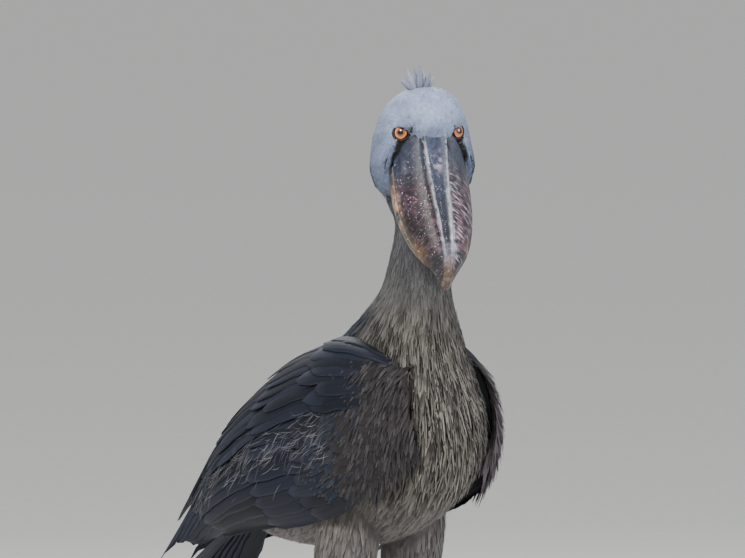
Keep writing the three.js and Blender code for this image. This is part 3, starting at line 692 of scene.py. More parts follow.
def eye_material():
    """A live eye: a wet clear cornea gives one sharp glint over a rayed amber iris and a black pupil."""
    material, add, shader = new_material("Wet cornea over an amber iris")
    shader.inputs["Roughness"].default_value = 0.12
    shader.inputs["IOR"].default_value = 1.376
    shader.inputs["Coat Weight"].default_value = 1.0
    shader.inputs["Coat Roughness"].default_value = 0.03
    disc = add("Attribute", {"attribute_name": "Iris"}).outputs["Vector"]
    radius = add("VectorMath", {"operation": "LENGTH"}, {0: disc})
    amber, pale = tone("iris", "shoebill_eyes"), tone("iris_pale", "shoebill_eyes")
    # Stops from the pupil out, as shares of the eyeball's radius.
    bands = (
        (0.0, linear("#050404")), (0.265, linear("#060404")), (0.29, linear("#451C0A")),
        (0.36, linear("#97481A")), (0.47, amber), (0.56, pale),
        (0.63, linear("#C8753A")), (0.665, linear("#3A190C")), (0.71, linear("#141010")),
        (1.0, linear("#1E1817")),
    )
    rings = add("ValToRGB", {"stops": bands}, {0: radius.outputs["Value"]})
    spokes = {"Scale": EYE_RADIUS / 1.39, "Detail": 5.0, "Roughness": 0.7}
    rays = add("TexNoise", spokes, {"Vector": disc})
    flecks = add("ValToRGB", {"stops": ((0.3, 0.62), (0.7, 1.25))}, {0: rays.outputs["Fac"]})
    add("Mix", {**MULTIPLY, 0: 0.75}, {6: rings, 7: flecks}, shader.inputs["Base Color"])
    return material


def bill_material():
    """Beak horn: layered keratin, waxy where it is rubbed, clouded, freckled and scratched pale."""
    material, add, shader = new_material("Beak horn, worn keratin")
    shader.inputs["IOR"].default_value = KERATIN_IOR
    shader.inputs["Specular IOR Level"].default_value = 0.35
    zone = add("Attribute", {"attribute_name": "Zone"})
    place = add("Attribute", {"attribute_name": "Bill"}).outputs["Vector"]
    lie = add("Attribute", {"attribute_name": "Grain"}).outputs["Vector"]
    clouds = {"Scale": per_metre(10.5), "Detail": 6.0, "Roughness": 0.7, "Distortion": 0.8}
    mottle = add("TexNoise", clouds, {"Vector": place}).outputs["Fac"]
    layers = {"Scale": per_metre(2.38), "Detail": 4.0, "Roughness": 0.7}
    fine = add("TexNoise", layers, {"Vector": place}).outputs["Fac"]
    freckles = {"Scale": per_metre(3.03), "Randomness": 1.0}
    fleck = add("TexVoronoi", freckles, {"Vector": place})
    # The grain's own coordinates already count scratches, so their scale is one.
    scratches = {"Scale": 1.0, "Detail": 3.0, "Roughness": 0.6, "Distortion": 0.25}
    scratch = add("TexNoise", scratches, {"Vector": lie}).outputs["Fac"]
    patches = add("ValToRGB", {"stops": ((0.34, 0.45), (0.5, 0.95), (0.66, 1.5))}, {0: mottle})
    grains = add("ValToRGB", {"stops": ((0.3, 0.6), (0.7, 1.35))}, {0: fine})
    base = add("Mix", {**MULTIPLY, 0: 0.9}, {6: zone.outputs["Color"], 7: patches})
    base = add("Mix", {**MULTIPLY, 0: 0.7}, {6: base, 7: grains})
    # Freckles of uneven size, only in the clouded places and where the grain's third part allows.
    uneven = add("Math", {"operation": "MULTIPLY_ADD", 1: 0.9, 2: -0.36}, {0: fine})
    reach = {0: fleck.outputs["Distance"], 1: uneven}
    reach = add("Math", {"operation": "ADD"}, reach)
    dots = add("ValToRGB", {"stops": ((0, 1), (0.2, 0.9), (0.3, 0))}, {0: reach})
    where = add("ValToRGB", {"stops": ((0.44, 0), (0.56, 1))}, {0: mottle})
    dots = add("Mix", {**MULTIPLY, 0: 1.0}, {6: dots, 7: where})
    allowed = add("SeparateXYZ", None, {0: lie}).outputs["Z"]
    allowed = add("CombineColor", None, {0: allowed, 1: allowed, 2: allowed})
    dots = add("Mix", {**MULTIPLY, 0: 1.0}, {6: dots, 7: allowed})
    freckle = {**BLEND, 7: four(linear("#C9C2CE"))}
    spotted = add("Mix", freckle, {0: dots, 6: base})
    marks = {"stops": ((0.55, 0), (0.62, 0.55), (0.72, 0.85))}
    marks = add("ValToRGB", marks, {0: scratch})
    marks = add("Mix", {**MULTIPLY, 0: 1.0}, {6: marks, 7: zone.outputs["Alpha"]})
    scraped = {**BLEND, 7: four(linear("#C0B3C2"))}
    add("Mix", scraped, {0: marks, 6: spotted}, shader.inputs["Base Color"])
    wax = {"stops": ((0.3, 0.32), (0.7, 0.55))}
    add("ValToRGB", wax, {0: fine}, shader.inputs["Roughness"])
    height = add("Mix", {**BLEND, 0: 0.5}, {6: scratch, 7: fine})
    relief = {"Strength": 0.7, "Distance": 1.1 * MM}
    add("Bump", relief, {"Height": height}, shader.inputs["Normal"])
    return material


def leg_material():
    """Leg skin: small dry plates of dark horn, dull, with dusty paler seams between them."""
    material, add, shader = new_material("Scaled leg skin, dry horn plates")
    shader.inputs["Roughness"].default_value = 0.55
    shader.inputs["IOR"].default_value = 1.5
    # The legs' own coordinates already count plates, so the scale is one.
    place = add("Attribute", {"attribute_name": "Leg"}).outputs["Vector"]
    cells = {"Scale": 1.0, "Randomness": 0.75}
    plates = add("TexVoronoi", {"feature": "DISTANCE_TO_EDGE", **cells}, {"Vector": place})
    shades = add("TexVoronoi", cells, {"Vector": place})
    edges = {"stops": ((0, 0), (0.09, 0.75), (0.2, 1))}
    seams = add("ValToRGB", edges, {0: plates.outputs["Distance"]})
    dark, pale = tone("plate_dark", "shoebill_legs"), tone("plate_pale", "shoebill_legs")
    body = add("ValToRGB", {"stops": ((0.1, dark), (0.9, pale))}, {0: shades.outputs["Color"]})
    dust = {**BLEND, 6: four(tone("seam", "shoebill_legs"))}
    add("Mix", dust, {0: seams, 7: body}, shader.inputs["Base Color"])
    relief = {"Strength": 0.9, "Distance": 0.6 * MM}
    add("Bump", relief, {"Height": seams}, shader.inputs["Normal"])
    return material


def claw_material():
    """Claw horn: dense dark keratin, polished by wear, so that it has soft long highlights."""
    material, add, shader = new_material("Claw horn, dark and polished")
    shader.inputs["Roughness"].default_value = 0.34
    shader.inputs["IOR"].default_value = KERATIN_IOR
    place = add("TexCoord").outputs["Object"]
    layers = {"Scale": per_metre(2.38), "Detail": 3.0, "Roughness": 0.6, "Distortion": 0.8}
    grain = add("TexNoise", layers, {"Vector": place}).outputs["Fac"]
    tones = {"stops": ((0.3, tone("claw", "shoebill_legs")), (0.75, linear("#3C3733")))}
    add("ValToRGB", tones, {0: grain}, shader.inputs["Base Color"])
    add("Bump", {"Strength": 0.5, "Distance": 0.3 * MM}, {"Height": grain}, shader.inputs["Normal"])
    return material


def floor_material():
    """Studio board under matt rolled paint: pale and even, with no highlight."""
    material, add, shader = new_material("Matt paint on studio board")
    shader.inputs["Roughness"].default_value = 0.9
    place = add("TexCoord").outputs["Object"]
    roller = {"Scale": per_metre(25), "Detail": 2.0, "Roughness": 0.6}
    grain = add("TexNoise", roller, {"Vector": place}).outputs["Fac"]
    tones = {"stops": ((0.3, linear("#D9D8D4")), (0.7, linear("#E0DFDB")))}
    add("ValToRGB", tones, {0: grain}, shader.inputs["Base Color"])
    return material


# Name, roughness, sheen, vane and barb spacing in millimetres, tone at the root (partly the downy base's
# grey, partly painted shade), rim's share, rim.
FEATHERS = {
    # Tiny overlapping vanes: even and silky, with hardly an edge to see.
    "head": ("Head feathers, short and silky", 0.75, 0.1, 4.5, 0.28, 0.9, 0.1, "#C9CDDA"),
    # Loose soft vanes: dull, darkened towards their roots, partly their downy grey and partly painted shade
    # under their neighbours, with pale frayed rims.
    "soft": ("Contour plumage, soft vanes", 0.8, 0.08, 25, 0.87, 0.45, 0.3, "#A39E9B"),
    # Longer loose vanes at the bend of the wing: dark, with a cold pale rim.
    "shoulder": ("Shoulder plumage, loose vanes", 0.72, 0.05, 30, 0.94, 0.55, 0.2, "#77747C"),
    # Firm zipped vanes: smooth and dark, with a thin slate rim.
    "flight": ("Flight feathers, firm vanes", 0.6, 0.0, 150, 3.37, 0.7, 0.12, "#4C5368"),
}
MAKERS = {
    "skin": skin_material,
    "lid": lid_material,
    "eye": eye_material,
    "bill": bill_material,
    "leg": leg_material,
    "claw": claw_material,
    "floor": floor_material,
}
made = {}


def material_for(key):
    """Each material, made once."""
    if key not in made:
        made[key] = feather_material(*FEATHERS[key]) if key in FEATHERS else MAKERS[key]()
    return made[key]


# Feathers


# Outlines of small vanes: share of the length and of the half-width.
SCALE = ((0.0, 0.8), (0.7, 0.95))
CONTOUR = ((0.0, 0.55), (0.4, 1.0), (0.8, 0.72))
LANCE = ((0.0, 0.5), (0.3, 1.0), (0.62, 0.8), (0.86, 0.42))
# Half-width and length of a feather's patch on the unwrapped skin.
BAKE_PATCH = (0.0014, 0.0028)


def tuft_faces(stations):
    """Quads and triangles of one small vane: a four-sided tube that ends in a point."""
    quads = []
    for r in range(stations - 1):
        for k in range(4):
            a, b = r * 4 + k, r * 4 + (k + 1) % 4
            quads.append((a, b, b + 4, a + 4))
    quads.append((3, 2, 1, 0))
    last = (stations - 1) * 4
    tris = [(last + k, last + (k + 1) % 4, last + 4) for k in range(4)]
    return quads, tris


def tufts(name, roots, flows, normals, forms, colours, places, material, outline=CONTOUR, jitter=0.16):
    """One closed mesh of many small vanes.

    forms has length, half-width, tip lift, sideways bend and thickness for each, in millimetres;
    places has each root's place on the unwrapped skin.
    """
    count = len(roots)
    flows = unit(flows - normals * (flows * normals).sum(-1, keepdims=True))
    sides = np.cross(flows, normals)
    length, half, lift, bend, thick = (forms[:, i:i + 1] for i in range(5))
    faces_to = normals + np.random.default_rng(count).normal(0, jitter, (count, 3))
    rings = []
    facing = []
    vane = []
    for share, width in outline:
        rise = lift * share ** 1.6 - 0.35 * thick * (1 - share)
        spine = roots + flows * length * share + normals * rise + sides * bend * share ** 2
        wide = sides * half * width
        body = normals * thick * (1 - 0.6 * share)
        rings += [spine - wide - body * 0.3, spine + body * 0.5]
        rings += [spine + wide - body * 0.3, spine - body * 0.7]
        facing += [faces_to - sides * 0.35, faces_to, faces_to + sides * 0.35, -normals]
        vane += [(-width, share), (0, share), (width, share), (0, share)]
    tip = roots + flows * length + normals * lift + sides * bend
    rings.append(tip)
    facing.append(normals + flows * 0.3)
    vane.append((0, 1))
    per = len(rings)
    verts = np.stack(rings, 1).reshape(-1, 3)
    quads, tris = tuft_faces(len(outline))
    offsets = np.arange(count) * per
    loops_q = (np.array(quads)[None] + offsets[:, None, None]).reshape(count, -1)
    loops_t = (np.array(tris)[None] + offsets[:, None, None]).reshape(count, -1)
    loops = np.concatenate([loops_q, loops_t], 1)
    sizes = np.tile([4] * len(quads) + [3] * len(tris), count)
    mesh = bpy.data.meshes.new(name)
    mesh.vertices.add(len(verts))
    mesh.vertices.foreach_set("co", ((verts + SHIFT) * MM).astype(np.float32).ravel())
    mesh.loops.add(loops.size)
    mesh.loops.foreach_set("vertex_index", loops.ravel().astype(np.int32))
    mesh.polygons.add(len(sizes))
    starts = np.concatenate([[0], np.cumsum(sizes)[:-1]]).astype(np.int32)
    mesh.polygons.foreach_set("loop_start", starts)
    mesh.polygons.foreach_set("use_smooth", np.ones(len(sizes), bool))
    mesh.update(calc_edges=True)
    mesh.normals_split_custom_set_from_vertices(unit(np.stack(facing, 1).reshape(-1, 3)).tolist())
    mesh.materials.append(material)
    obj = link_object(name, mesh)
    spread = np.array(vane)
    owner, local = np.divmod(loops.ravel(), per)
    store_uv(obj, "OFBake", places[owner] + spread[local] * BAKE_PATCH)
    store_vane(obj, np.tile(spread, (count, 1)))
    paint(obj, "Coat", np.repeat(colours, per, 0))
    return obj


def store_uv(obj, name, coords):
    """A UV map from one pair for each corner."""
    layer = obj.data.uv_layers.new(name=name)
    layer.data.foreach_set("uv", np.asarray(coords, np.float32).ravel())


def store_vane(obj, spread, name="Vane"):
    """Place across and along a vane, one pair for each vertex."""
    layer = obj.data.attributes.new(name, "FLOAT_VECTOR", "POINT")
    full = np.zeros((len(spread), 3), np.float32)
    full[:, :spread.shape[1]] = spread
    layer.data.foreach_set("vector", full.ravel())


def search_tree(points):
    """A tree that finds the nearest of many points."""
    tree = kdtree.KDTree(len(points))
    for i, point in enumerate(points):
        tree.insert(point, i)
    tree.balance()
    return tree


def thin(points, reach):
    """True for points kept so that none lies nearer to another than its reach."""
    tree = search_tree(points)
    alive = np.ones(len(points), bool)
    for i, point in enumerate(points):
        if alive[i]:
            for _, j, _ in tree.find_range(point, reach[i]):
                if j != i:
                    alive[j] = False
    return alive


def scatter(mesh, points, spacing, keep, seed):
    """Even random roots on a mesh, with their normals."""
    rng = np.random.default_rng(seed)
    mesh.calc_loop_triangles()
    corners = np.empty(len(mesh.loop_triangles) * 3, np.int32)
    mesh.loop_triangles.foreach_get("vertices", corners)
    corners = corners.reshape(-1, 3)
    facing = np.empty(len(mesh.vertices) * 3, np.float32)
    mesh.vertex_normals.foreach_get("vector", facing)
    facing = facing.reshape(-1, 3)
    a, b, c = points[corners[:, 0]], points[corners[:, 1]], points[corners[:, 2]]
    centre = (a + b + c) / 3
    area = np.linalg.norm(np.cross(b - a, c - a), axis=-1) / 2
    weight = np.where(keep(centre), area / spacing(centre) ** 2, 0)
    picks = rng.choice(len(weight), int(weight.sum() * 3.2), p=weight / weight.sum())
    share = rng.random((len(picks), 2))
    share = np.where(share.sum(1, keepdims=True) > 1, 1 - share, share)
    weights = np.concatenate([1 - share.sum(1, keepdims=True), share], 1)[:, :, None]
    roots = (points[corners[picks]] * weights).sum(1)
    normals = unit((facing[corners[picks]] * weights).sum(1))
    good = thin(roots, spacing(roots) * 0.8)
    return roots[good], normals[good]


def surface_frame(surface, uv, step=0.004):
    """Along and outward directions of a surface at its places."""
    u, v = uv[:, 0], uv[:, 1]
    along = surface(np.clip(u + step, 0, 1), v) - surface(np.clip(u - step, 0, 1), v)
    across = surface(u, v + step) - surface(u, v - step)
    return unit(along), unit(np.cross(across, along))


# The skin


def limb_points(row, radius, angle, side):
    """Points round a station of a leg's table at a radius and an angle."""
    aside = side * (row[..., 2] + radius * np.sin(angle))
    return np.stack([aside, -(row[..., 0] + radius * np.cos(angle)), row[..., 1] + 0 * angle], -1)


def thigh_points(place, angle, side, grow=0.0):
    """Points on a thigh at a station and an angle round it."""
    row = smooth_rows(THIGH, place)
    return limb_points(row, row[..., 3] + grow, angle, side)


def ring_grid(stations, around):
    """Stations and angles for a closed tube."""
    return np.meshgrid(stations, np.arange(around) * TAU / around, indexing="ij")


def skin_parts():
    """Closed forms whose union is the bird's flesh, a coat's depth inside the frame's solids."""
    parts = []
    t, a = ring_grid(np.linspace(0, len(SKULL) - 1, 70), 72)
    parts.append(tube(skull_points(t, a, -0.9)))
    t, a = ring_grid(np.linspace(0, len(TRUNK) - 1, 130), 72)
    parts.append(tube(trunk_points(t, a, -millimetres("skin_depth"))))
    for side in (1, -1):
        t, a = ring_grid(np.linspace(0, len(THIGH) - 1.02, 50), 40)
        parts.append(tube(thigh_points(t, a, side, -millimetres("skin_depth"))))
        # The heavy brow that shades an eye, and the fold from under the eye to the gape.
        brow = on_head(-10, 4, side * 47), on_head(6, 31, side * 24)
        parts.append(flesh_ridge(*brow, 0.45, (21, 7.5, 7.0)))
        fold = on_head(18, 6, side * 45), on_head(52, -22, side * 58)
        parts.append(flesh_ridge(*fold, 0.5, (27, 4.5, 4.5)))
    return parts


def flesh_ridge(start, end, share, sizes):
    """A long low swelling of flesh laid from one place to another."""
    along = unit(end - start)
    up = unit(np.cross(along, HEAD_AXES[:, 0]))
    return ellipsoid(start + (end - start) * share, np.stack([along, up, np.cross(along, up)], -1), sizes)


def eye_socket(side):
    """The space that an eye and its lids need."""
    centre, look, right, up = eye_axes(side)
    places = np.linspace(0, 1, 14)
    angles = np.arange(28) * TAU / 28
    radii = 10.4 + 3.4 * places ** 1.3
    reach = 5.5 + 26 * places
    slant = math.radians(LID_SLANT) * inner_way(right, side)
    long_way = right * math.cos(slant) - up * math.sin(slant)
    short_way = right * math.sin(slant) + up * math.cos(slant)
    ring = long_way * np.cos(angles)[:, None] + short_way * (np.sin(angles) * 0.78)[:, None]
    points = centre - short_way * 2.0 + look * reach[:, None, None] + ring[None] * radii[:, None, None]
    cone = tube(points)
    inward = -side * HEAD_AXES[:, 2]
    bowl = ellipsoid(centre + look * 29 + inward * 4 - up * 12, np.eye(3), (21, 21, 21), 48, 32)
    ball = ellipsoid(centre, np.stack([right, up, look], -1), (13.1, 13.1, 13.1))
    return cone, bowl, ball


def build_skin():
    """One skin for the head, neck, torso and thighs, with the eye sockets cut in it."""
    skin = closed_object("skin", join_parts(skin_parts()), "skin")
    remesh = skin.modifiers.new("remesh", "REMESH")
    remesh.mode = "VOXEL"
    remesh.voxel_size = 0.0021
    remesh.use_smooth_shade = True
    soften = skin.modifiers.new("soften", "SMOOTH")
    soften.factor = 0.5
    soften.iterations = 5
    apply_modifiers(skin)
    for side in (1, -1):
        for shape in eye_socket(side):
            cutter = new_object("cutter", *shape, [])
            face_outwards(cutter)
            cut = skin.modifiers.new("cut", "BOOLEAN")
            cut.operation = "DIFFERENCE"
            cut.solver = "MANIFOLD"
            cut.object = cutter
            apply_modifiers(skin)
            bpy.data.objects.remove(cutter)
    if not skin.data.materials:
        skin.data.materials.append(material_for("skin"))
    skin.data.polygons.foreach_set("use_smooth", np.ones(len(skin.data.polygons), bool))
    points = mesh_points(skin)
    # Painted shade: the skin's coat colour is darkened where it shows in the gaps between the vanes, less so
    # on the head.
    under = 0.62 + 0.3 * ease(points[:, 2], 1060, 1120)
    paint(skin, "Coat", plumage_colour(points) * under[:, None])
    place_piece(skin, "body_plumage", "head", "neck", "torso", "thigh_left", "thigh_right")
    return skin


# The coat on the head, neck, torso and thighs


def head_flow(points):
    """The lie of the feathers: over the crown, down the nape and back across the cheeks."""
    local = to_head(points)
    wheel = np.stack([-(local[:, 1] + 25), local[:, 0] - 5, 0 * local[:, 0]], -1) / 42
    steady = np.array([0.2, -0.75, 0.0])
    flow = wheel * np.minimum(np.hypot(wheel[:, 0], wheel[:, 1]), 1.2)[:, None] + steady * 0.8
    down = np.array([0.0, 0.0, -1.0]) @ HEAD_AXES
    blend = ease(points[:, 2], 1140, 1095)[:, None]
    return (unit(flow) * (1 - blend) + down * blend) @ HEAD_AXES.T


def clear_of_face(points):
    """True away from the bill, the eyes and the bare skin between them."""
    local = to_head(points)
    along, over, aside = local[:, 0], local[:, 1], np.abs(local[:, 2])
    half = np.interp(along, UPPER_BILL[:, 0], UPPER_BILL[:, 1])
    top = np.interp(along, UPPER_BILL[:, 0], UPPER_BILL[:, 2])
    share = np.clip(aside / np.maximum(half, 1), 0, 1)
    bill_top = top - (top + 18) * share ** 2.6
    on_bill = (along > 22) & (aside < half + 1.5) & (over < bill_top + 2) & (over > -62)
    gape = (along > 34) & (aside < half + 4) & (over > -60) & (over < 2)
    clear = ~on_bill & ~gape
    for side in (1, -1):
        clear &= np.linalg.norm(points - eye_axes(side)[0], axis=-1) > 13.6
    return clear & (lore_mask(local) < 0.3)


def head_surface(u, v):
    """The skull by shares along and round it."""
    return skull_points(u * (len(SKULL) - 1), v * TAU, -0.9)


def trunk_surface(u, v):
    """The trunk by shares along and round it."""
    return trunk_points(u * (len(TRUNK) - 1), v * TAU, -millimetres("skin_depth"))


def thigh_surface(side):
    """A thigh by shares along and round it."""
    return lambda u, v: thigh_points(u * (len(THIGH) - 1.02), v * TAU, side, -millimetres("skin_depth"))


class Lie:
    """Which form each place of the skin belongs to, its lie and its place on the unwrapped skin."""

    def __init__(self):
        self.points, self.along, self.places, self.part = [], [], [], []
        self.add(0, head_surface, 60, 64, (0.62, 0.53), (0.37, 0.45))
        self.add(1, trunk_surface, 120, 64, (0.01, 0.01), (0.58, 0.97))
        self.add(2, thigh_surface(1), 40, 32, (0.62, 0.01), (0.17, 0.48))
        self.add(3, thigh_surface(-1), 40, 32, (0.81, 0.01), (0.17, 0.48))
        self.points = np.concatenate(self.points)
        self.along = np.concatenate(self.along)
        self.places = np.concatenate(self.places)
        self.part = np.concatenate(self.part)
        self.tree = search_tree(self.points)

    def add(self, part, surface, rows, around, corner, size):
        """Adds samples of one form, which fills one rectangle of the unwrapped skin."""
        u, v = np.meshgrid(np.linspace(0.006, 0.994, rows), np.arange(around) / around, indexing="ij")
        uv = np.stack([u.ravel(), v.ravel()], -1)
        self.points.append(surface(uv[:, 0], uv[:, 1]))
        self.along.append(surface_frame(surface, uv)[0])
        self.places.append(np.array(corner) + uv[:, ::-1] * size)
        self.part.append(np.full(len(uv), part))

    def look_up(self, points):
        """Lie, place on the unwrapped skin and form of the nearest sample to each point."""
        near = np.array([self.tree.find(point)[1] for point in points], int)
        return self.along[near], self.places[near], self.part[near]


def head_spacing(points):
    """Millimetres between the roots of the head's feathers: finest round the face."""
    local = to_head(points)
    away = np.hypot(local[:, 0] - 18, local[:, 1] - 8) / 90
    return millimetres("head_spacing") + 1.1 * np.clip(away, 0, 1)


def head_coat(skin, lie):
    """Small flat feathers over the head."""
    keep = lambda p: (p[:, 2] > 1099) & clear_of_face(p)
    roots, normals = scatter(skin.data, mesh_points(skin), head_spacing, keep, 11)
    local = to_head(roots)
    inward = (normals @ HEAD_AXES[:, 2]) * np.sign(local[:, 2]) < -0.1
    outer = ~(inward & (local[:, 0] > 22) & (local[:, 1] < 20))
    roots, normals = roots[outer], normals[outer]
    rng = np.random.default_rng(12)
    reach = head_spacing(roots)
    count = len(roots)
    forms = np.stack([
        reach * rng.uniform(2.2, 3.0, count),
        reach * rng.uniform(0.56, 0.72, count),
        rng.uniform(0.3, 0.7, count),
        rng.normal(0, 0.35, count),
        np.full(count, 0.22),
    ], -1)
    flows = head_flow(roots) + rng.normal(0, 0.09, (count, 3))
    colours = plumage_colour(roots) * rng.uniform(0.88, 1.1, count)[:, None]
    places = lie.look_up(roots)[1]
    material = material_for("head")
    coat = tufts("coat_head", roots, flows, normals, forms, colours, places, material, SCALE, 0.13)
    return place_piece(coat, "head_plumage")


def covered_by_wing(points):
    """True well under a folded wing."""
    u, v = np.meshgrid(np.linspace(0, 9, 60), np.linspace(0.08, 0.92, 9), indexing="ij")
    surface = wing_points(u.ravel(), v.ravel())
    normals = wing_normals(u.ravel(), v.ravel())
    tree = search_tree(surface)
    result = np.zeros(len(points), bool)
    for i in np.flatnonzero((points[:, 2] < 915) & (points[:, 2] > 560)):
        spot = np.array([abs(points[i, 0]), points[i, 1], points[i, 2]])
        j, gap = tree.find(spot)[1:]
        depth = float(np.dot(normals[j], surface[j] - spot))
        result[i] = depth > 6 and math.sqrt(max(gap * gap - depth * depth, 0)) < 5
    return result


def trunk_spacing(points):
    """Millimetres between feather roots: fine on the neck and broad on the back and belly."""
    z = points[:, 2]
    heights = (380, 480, 640, 760, 880, 960, 1060, 1120)
    space = np.interp(z, heights, (3.8, 5.4, 6.6, 6.0, 5.2, 3.9, 3.0, 2.5))
    return space + back_share(points) * 4.5


def trunk_coat(skin, lie):
    """Feathers of the neck, breast, back, belly and thighs."""
    keep = lambda p: (p[:, 2] <= 1101) & clear_of_face(p)
    roots, normals = scatter(skin.data, mesh_points(skin), trunk_spacing, keep, 21)
    open_air = ~covered_by_wing(roots)
    roots, normals = roots[open_air], normals[open_air]
    along, places, part = lie.look_up(roots)
    rng = np.random.default_rng(22)
    count = len(roots)
    z = roots[:, 2]
    reach = trunk_spacing(roots)
    back = back_share(roots)
    breast = ease(z, 985, 925) * (1 - back) * ease(z, 650, 720)
    length = reach * (4.2 + 1.2 * breast - 1.0 * back) * rng.uniform(0.8, 1.2, count)
    half = reach * (0.4 - 0.08 * breast + 0.24 * back) * rng.uniform(0.85, 1.15, count)
    lift = 0.9 + 1.6 * breast + 0.8 * back + rng.uniform(0, 1.3, count) * (1 - back * 0.5)
    bend = rng.normal(0, 0.06, count) * length
    forms = np.stack([length, half, lift, bend, np.full(count, 0.45)], -1)
    along[part == 0] = (0, 0, -1)
    flows = along + np.array([0, 0, -0.35]) * (1 - back)[:, None] + rng.normal(0, 0.09, (count, 3))
    colours = plumage_colour(roots)
    # Dark streaks down the breast: partly the plumage's own streaking, partly painted shade between the
    # plumes.
    streak = ease(noise(roots * (1, 1, 0.2), 6, 31), 0.5, 0.75) * (0.25 + 0.75 * breast) * (1 - back)
    colours = mix(colours, tone("breast_streaks_and_shade"), streak * 0.8)
    colours = colours * rng.uniform(0.7, 1.25, count)[:, None]
    pieces = (
        ("coat_neck", (part < 2) & (z > 955), "soft", LANCE),
        ("coat_breast", (part < 2) & (z <= 955) & (back < 0.5), "soft", LANCE),
        ("coat_back", (part < 2) & (z <= 955) & (back >= 0.5), "flight", CONTOUR),
        ("coat_thighs", part > 1, "soft", CONTOUR),
    )
    for name, pick, key, outline in pieces:
        piece = tufts(name, roots[pick], flows[pick], normals[pick], forms[pick], colours[pick],
                      places[pick], material_for(key), outline)
        place_piece(piece, "body_plumage")


def breast_plumes():
    """Long lanceolate plumes that hang over the breast."""
    rng = np.random.default_rng(41)
    rows = []
    for place in np.arange(6.4, 12.4, 0.24):
        spread = np.interp(place, (5, 7, 10, 12.4), (70, 84, 74, 50))
        number = int(np.interp(place, (5, 8, 12.4), (15, 24, 17)))
        for share in np.linspace(-1, 1, number):
            angle = -math.pi / 2 + math.radians(spread) * share + rng.normal(0, 0.05)
            if rng.random() < ease(place, 5.8, 8.6):
                rows.append((place + rng.normal(0, 0.12), angle))
    rows = np.array(rows)
    top = len(TRUNK) - 1
    uv = np.stack([rows[:, 0] / top, rows[:, 1] / TAU % 1], -1)
    surface = lambda u, v: trunk_points(u * top, v * TAU, 0.6)
    roots = surface(uv[:, 0], uv[:, 1])
    along, normals = surface_frame(surface, uv)
    count = len(roots)
    length = np.interp(rows[:, 0], (5, 7, 10), (28, 42, 50)) * rng.uniform(0.6, 1.25, count)
    forms = np.stack([
        length, rng.uniform(1.2, 2.8, count), rng.uniform(1.5, 5.0, count),
        rng.normal(0, 0.08, count) * length, np.full(count, 0.6),
    ], -1)
    flows = along + np.array([0, 0, -0.5]) + rng.normal(0, 0.07, (count, 3))
    light = rng.uniform(0.55, 1.3, count)[:, None]
    pale = plumage_colour(roots) * 1.35
    # Some plumes are darkened towards the streak colour, more so lower down: partly their own darker tone,
    # partly painted shade in the gaps between them.
    shade = rng.uniform(0, 1.0, count) ** 1.6 * (0.35 + 0.65 * ease(rows[:, 0], 6.5, 9))
    colours = mix(pale, tone("breast_streaks_and_shade"), shade) * light
    places = np.array([0.01, 0.01]) + uv[:, ::-1] * (0.58, 0.97)
    coat = tufts("plumes_breast", roots, flows, normals, forms, colours, places, material_for("soft"), LANCE)
    return place_piece(coat, "body_plumage")


# Wings and tail


# Tiers from the hand to the back: name, number of feathers, roots and tips along the wing (first and
# last feather), roots and tips down it, half-width, height over the wing, and extra height at the front.
WING_TIERS = (
    ("primaries", 9, (5.5, 4.7), (9.1, 7.4), (0.36, 0.92), (0.46, 0.95), 15, 0.5, 7.5),
    ("secondaries", 12, (3.3, 3.0), (7.5, 5.9), (0.22, 0.95), (0.34, 0.99), 16, 2.6, 6.5),
    ("tertials", 6, (3.6, 3.3), (8.4, 7.0), (0.04, 0.3), (0.12, 0.42), 17, 9.5, 4.0),
    ("greater", 13, (2.2, 2.0), (4.5, 4.0), (0.16, 0.96), (0.19, 0.99), 13, 4.6, 0.6),
    ("median", 14, (1.4, 1.2), (3.1, 2.8), (0.14, 0.94), (0.16, 0.97), 12, 4.2, 0.4),
    ("lesser_low", 15, (0.9, 0.7), (2.1, 1.9), (0.12, 0.93), (0.13, 0.95), 11, 4.4, 0.2),
    ("lesser_high", 14, (0.35, 0.2), (1.35, 1.2), (0.12, 0.9), (0.13, 0.93), 11, 4.2, 0.2),
    ("scapular_low", 8, (1.9, 2.6), (5.3, 6.2), (0.3, 0.1), (0.55, 0.34), 17, 7.4, 1.2),
    ("scapular_rear", 9, (2.9, 2.8), (6.3, 5.5), (-0.06, 0.26), (0.03, 0.44), 17, 10.0, 1.2),
    ("scapular_middle", 10, (1.5, 1.4), (4.6, 4.0), (-0.1, 0.3), (-0.05, 0.46), 17, 9.4, 1.2),
    ("scapular_front", 10, (0.3, 0.3), (2.9, 2.5), (-0.13, 0.3), (-0.1, 0.4), 16, 8.4, 0.8),
)
# Rise across a feather for each millimetre from its shaft, so that each lies over the next.
FEATHER_ROLL = 0.1
# Outlines of broad feathers: share of the length and of the half-width.
FEATHER_SHAPE = np.array([
    (0, 0.34), (0.12, 0.62), (0.3, 0.9), (0.55, 1), (0.78, 0.97), (0.9, 0.8), (0.965, 0.5), (1, 0.12),
])


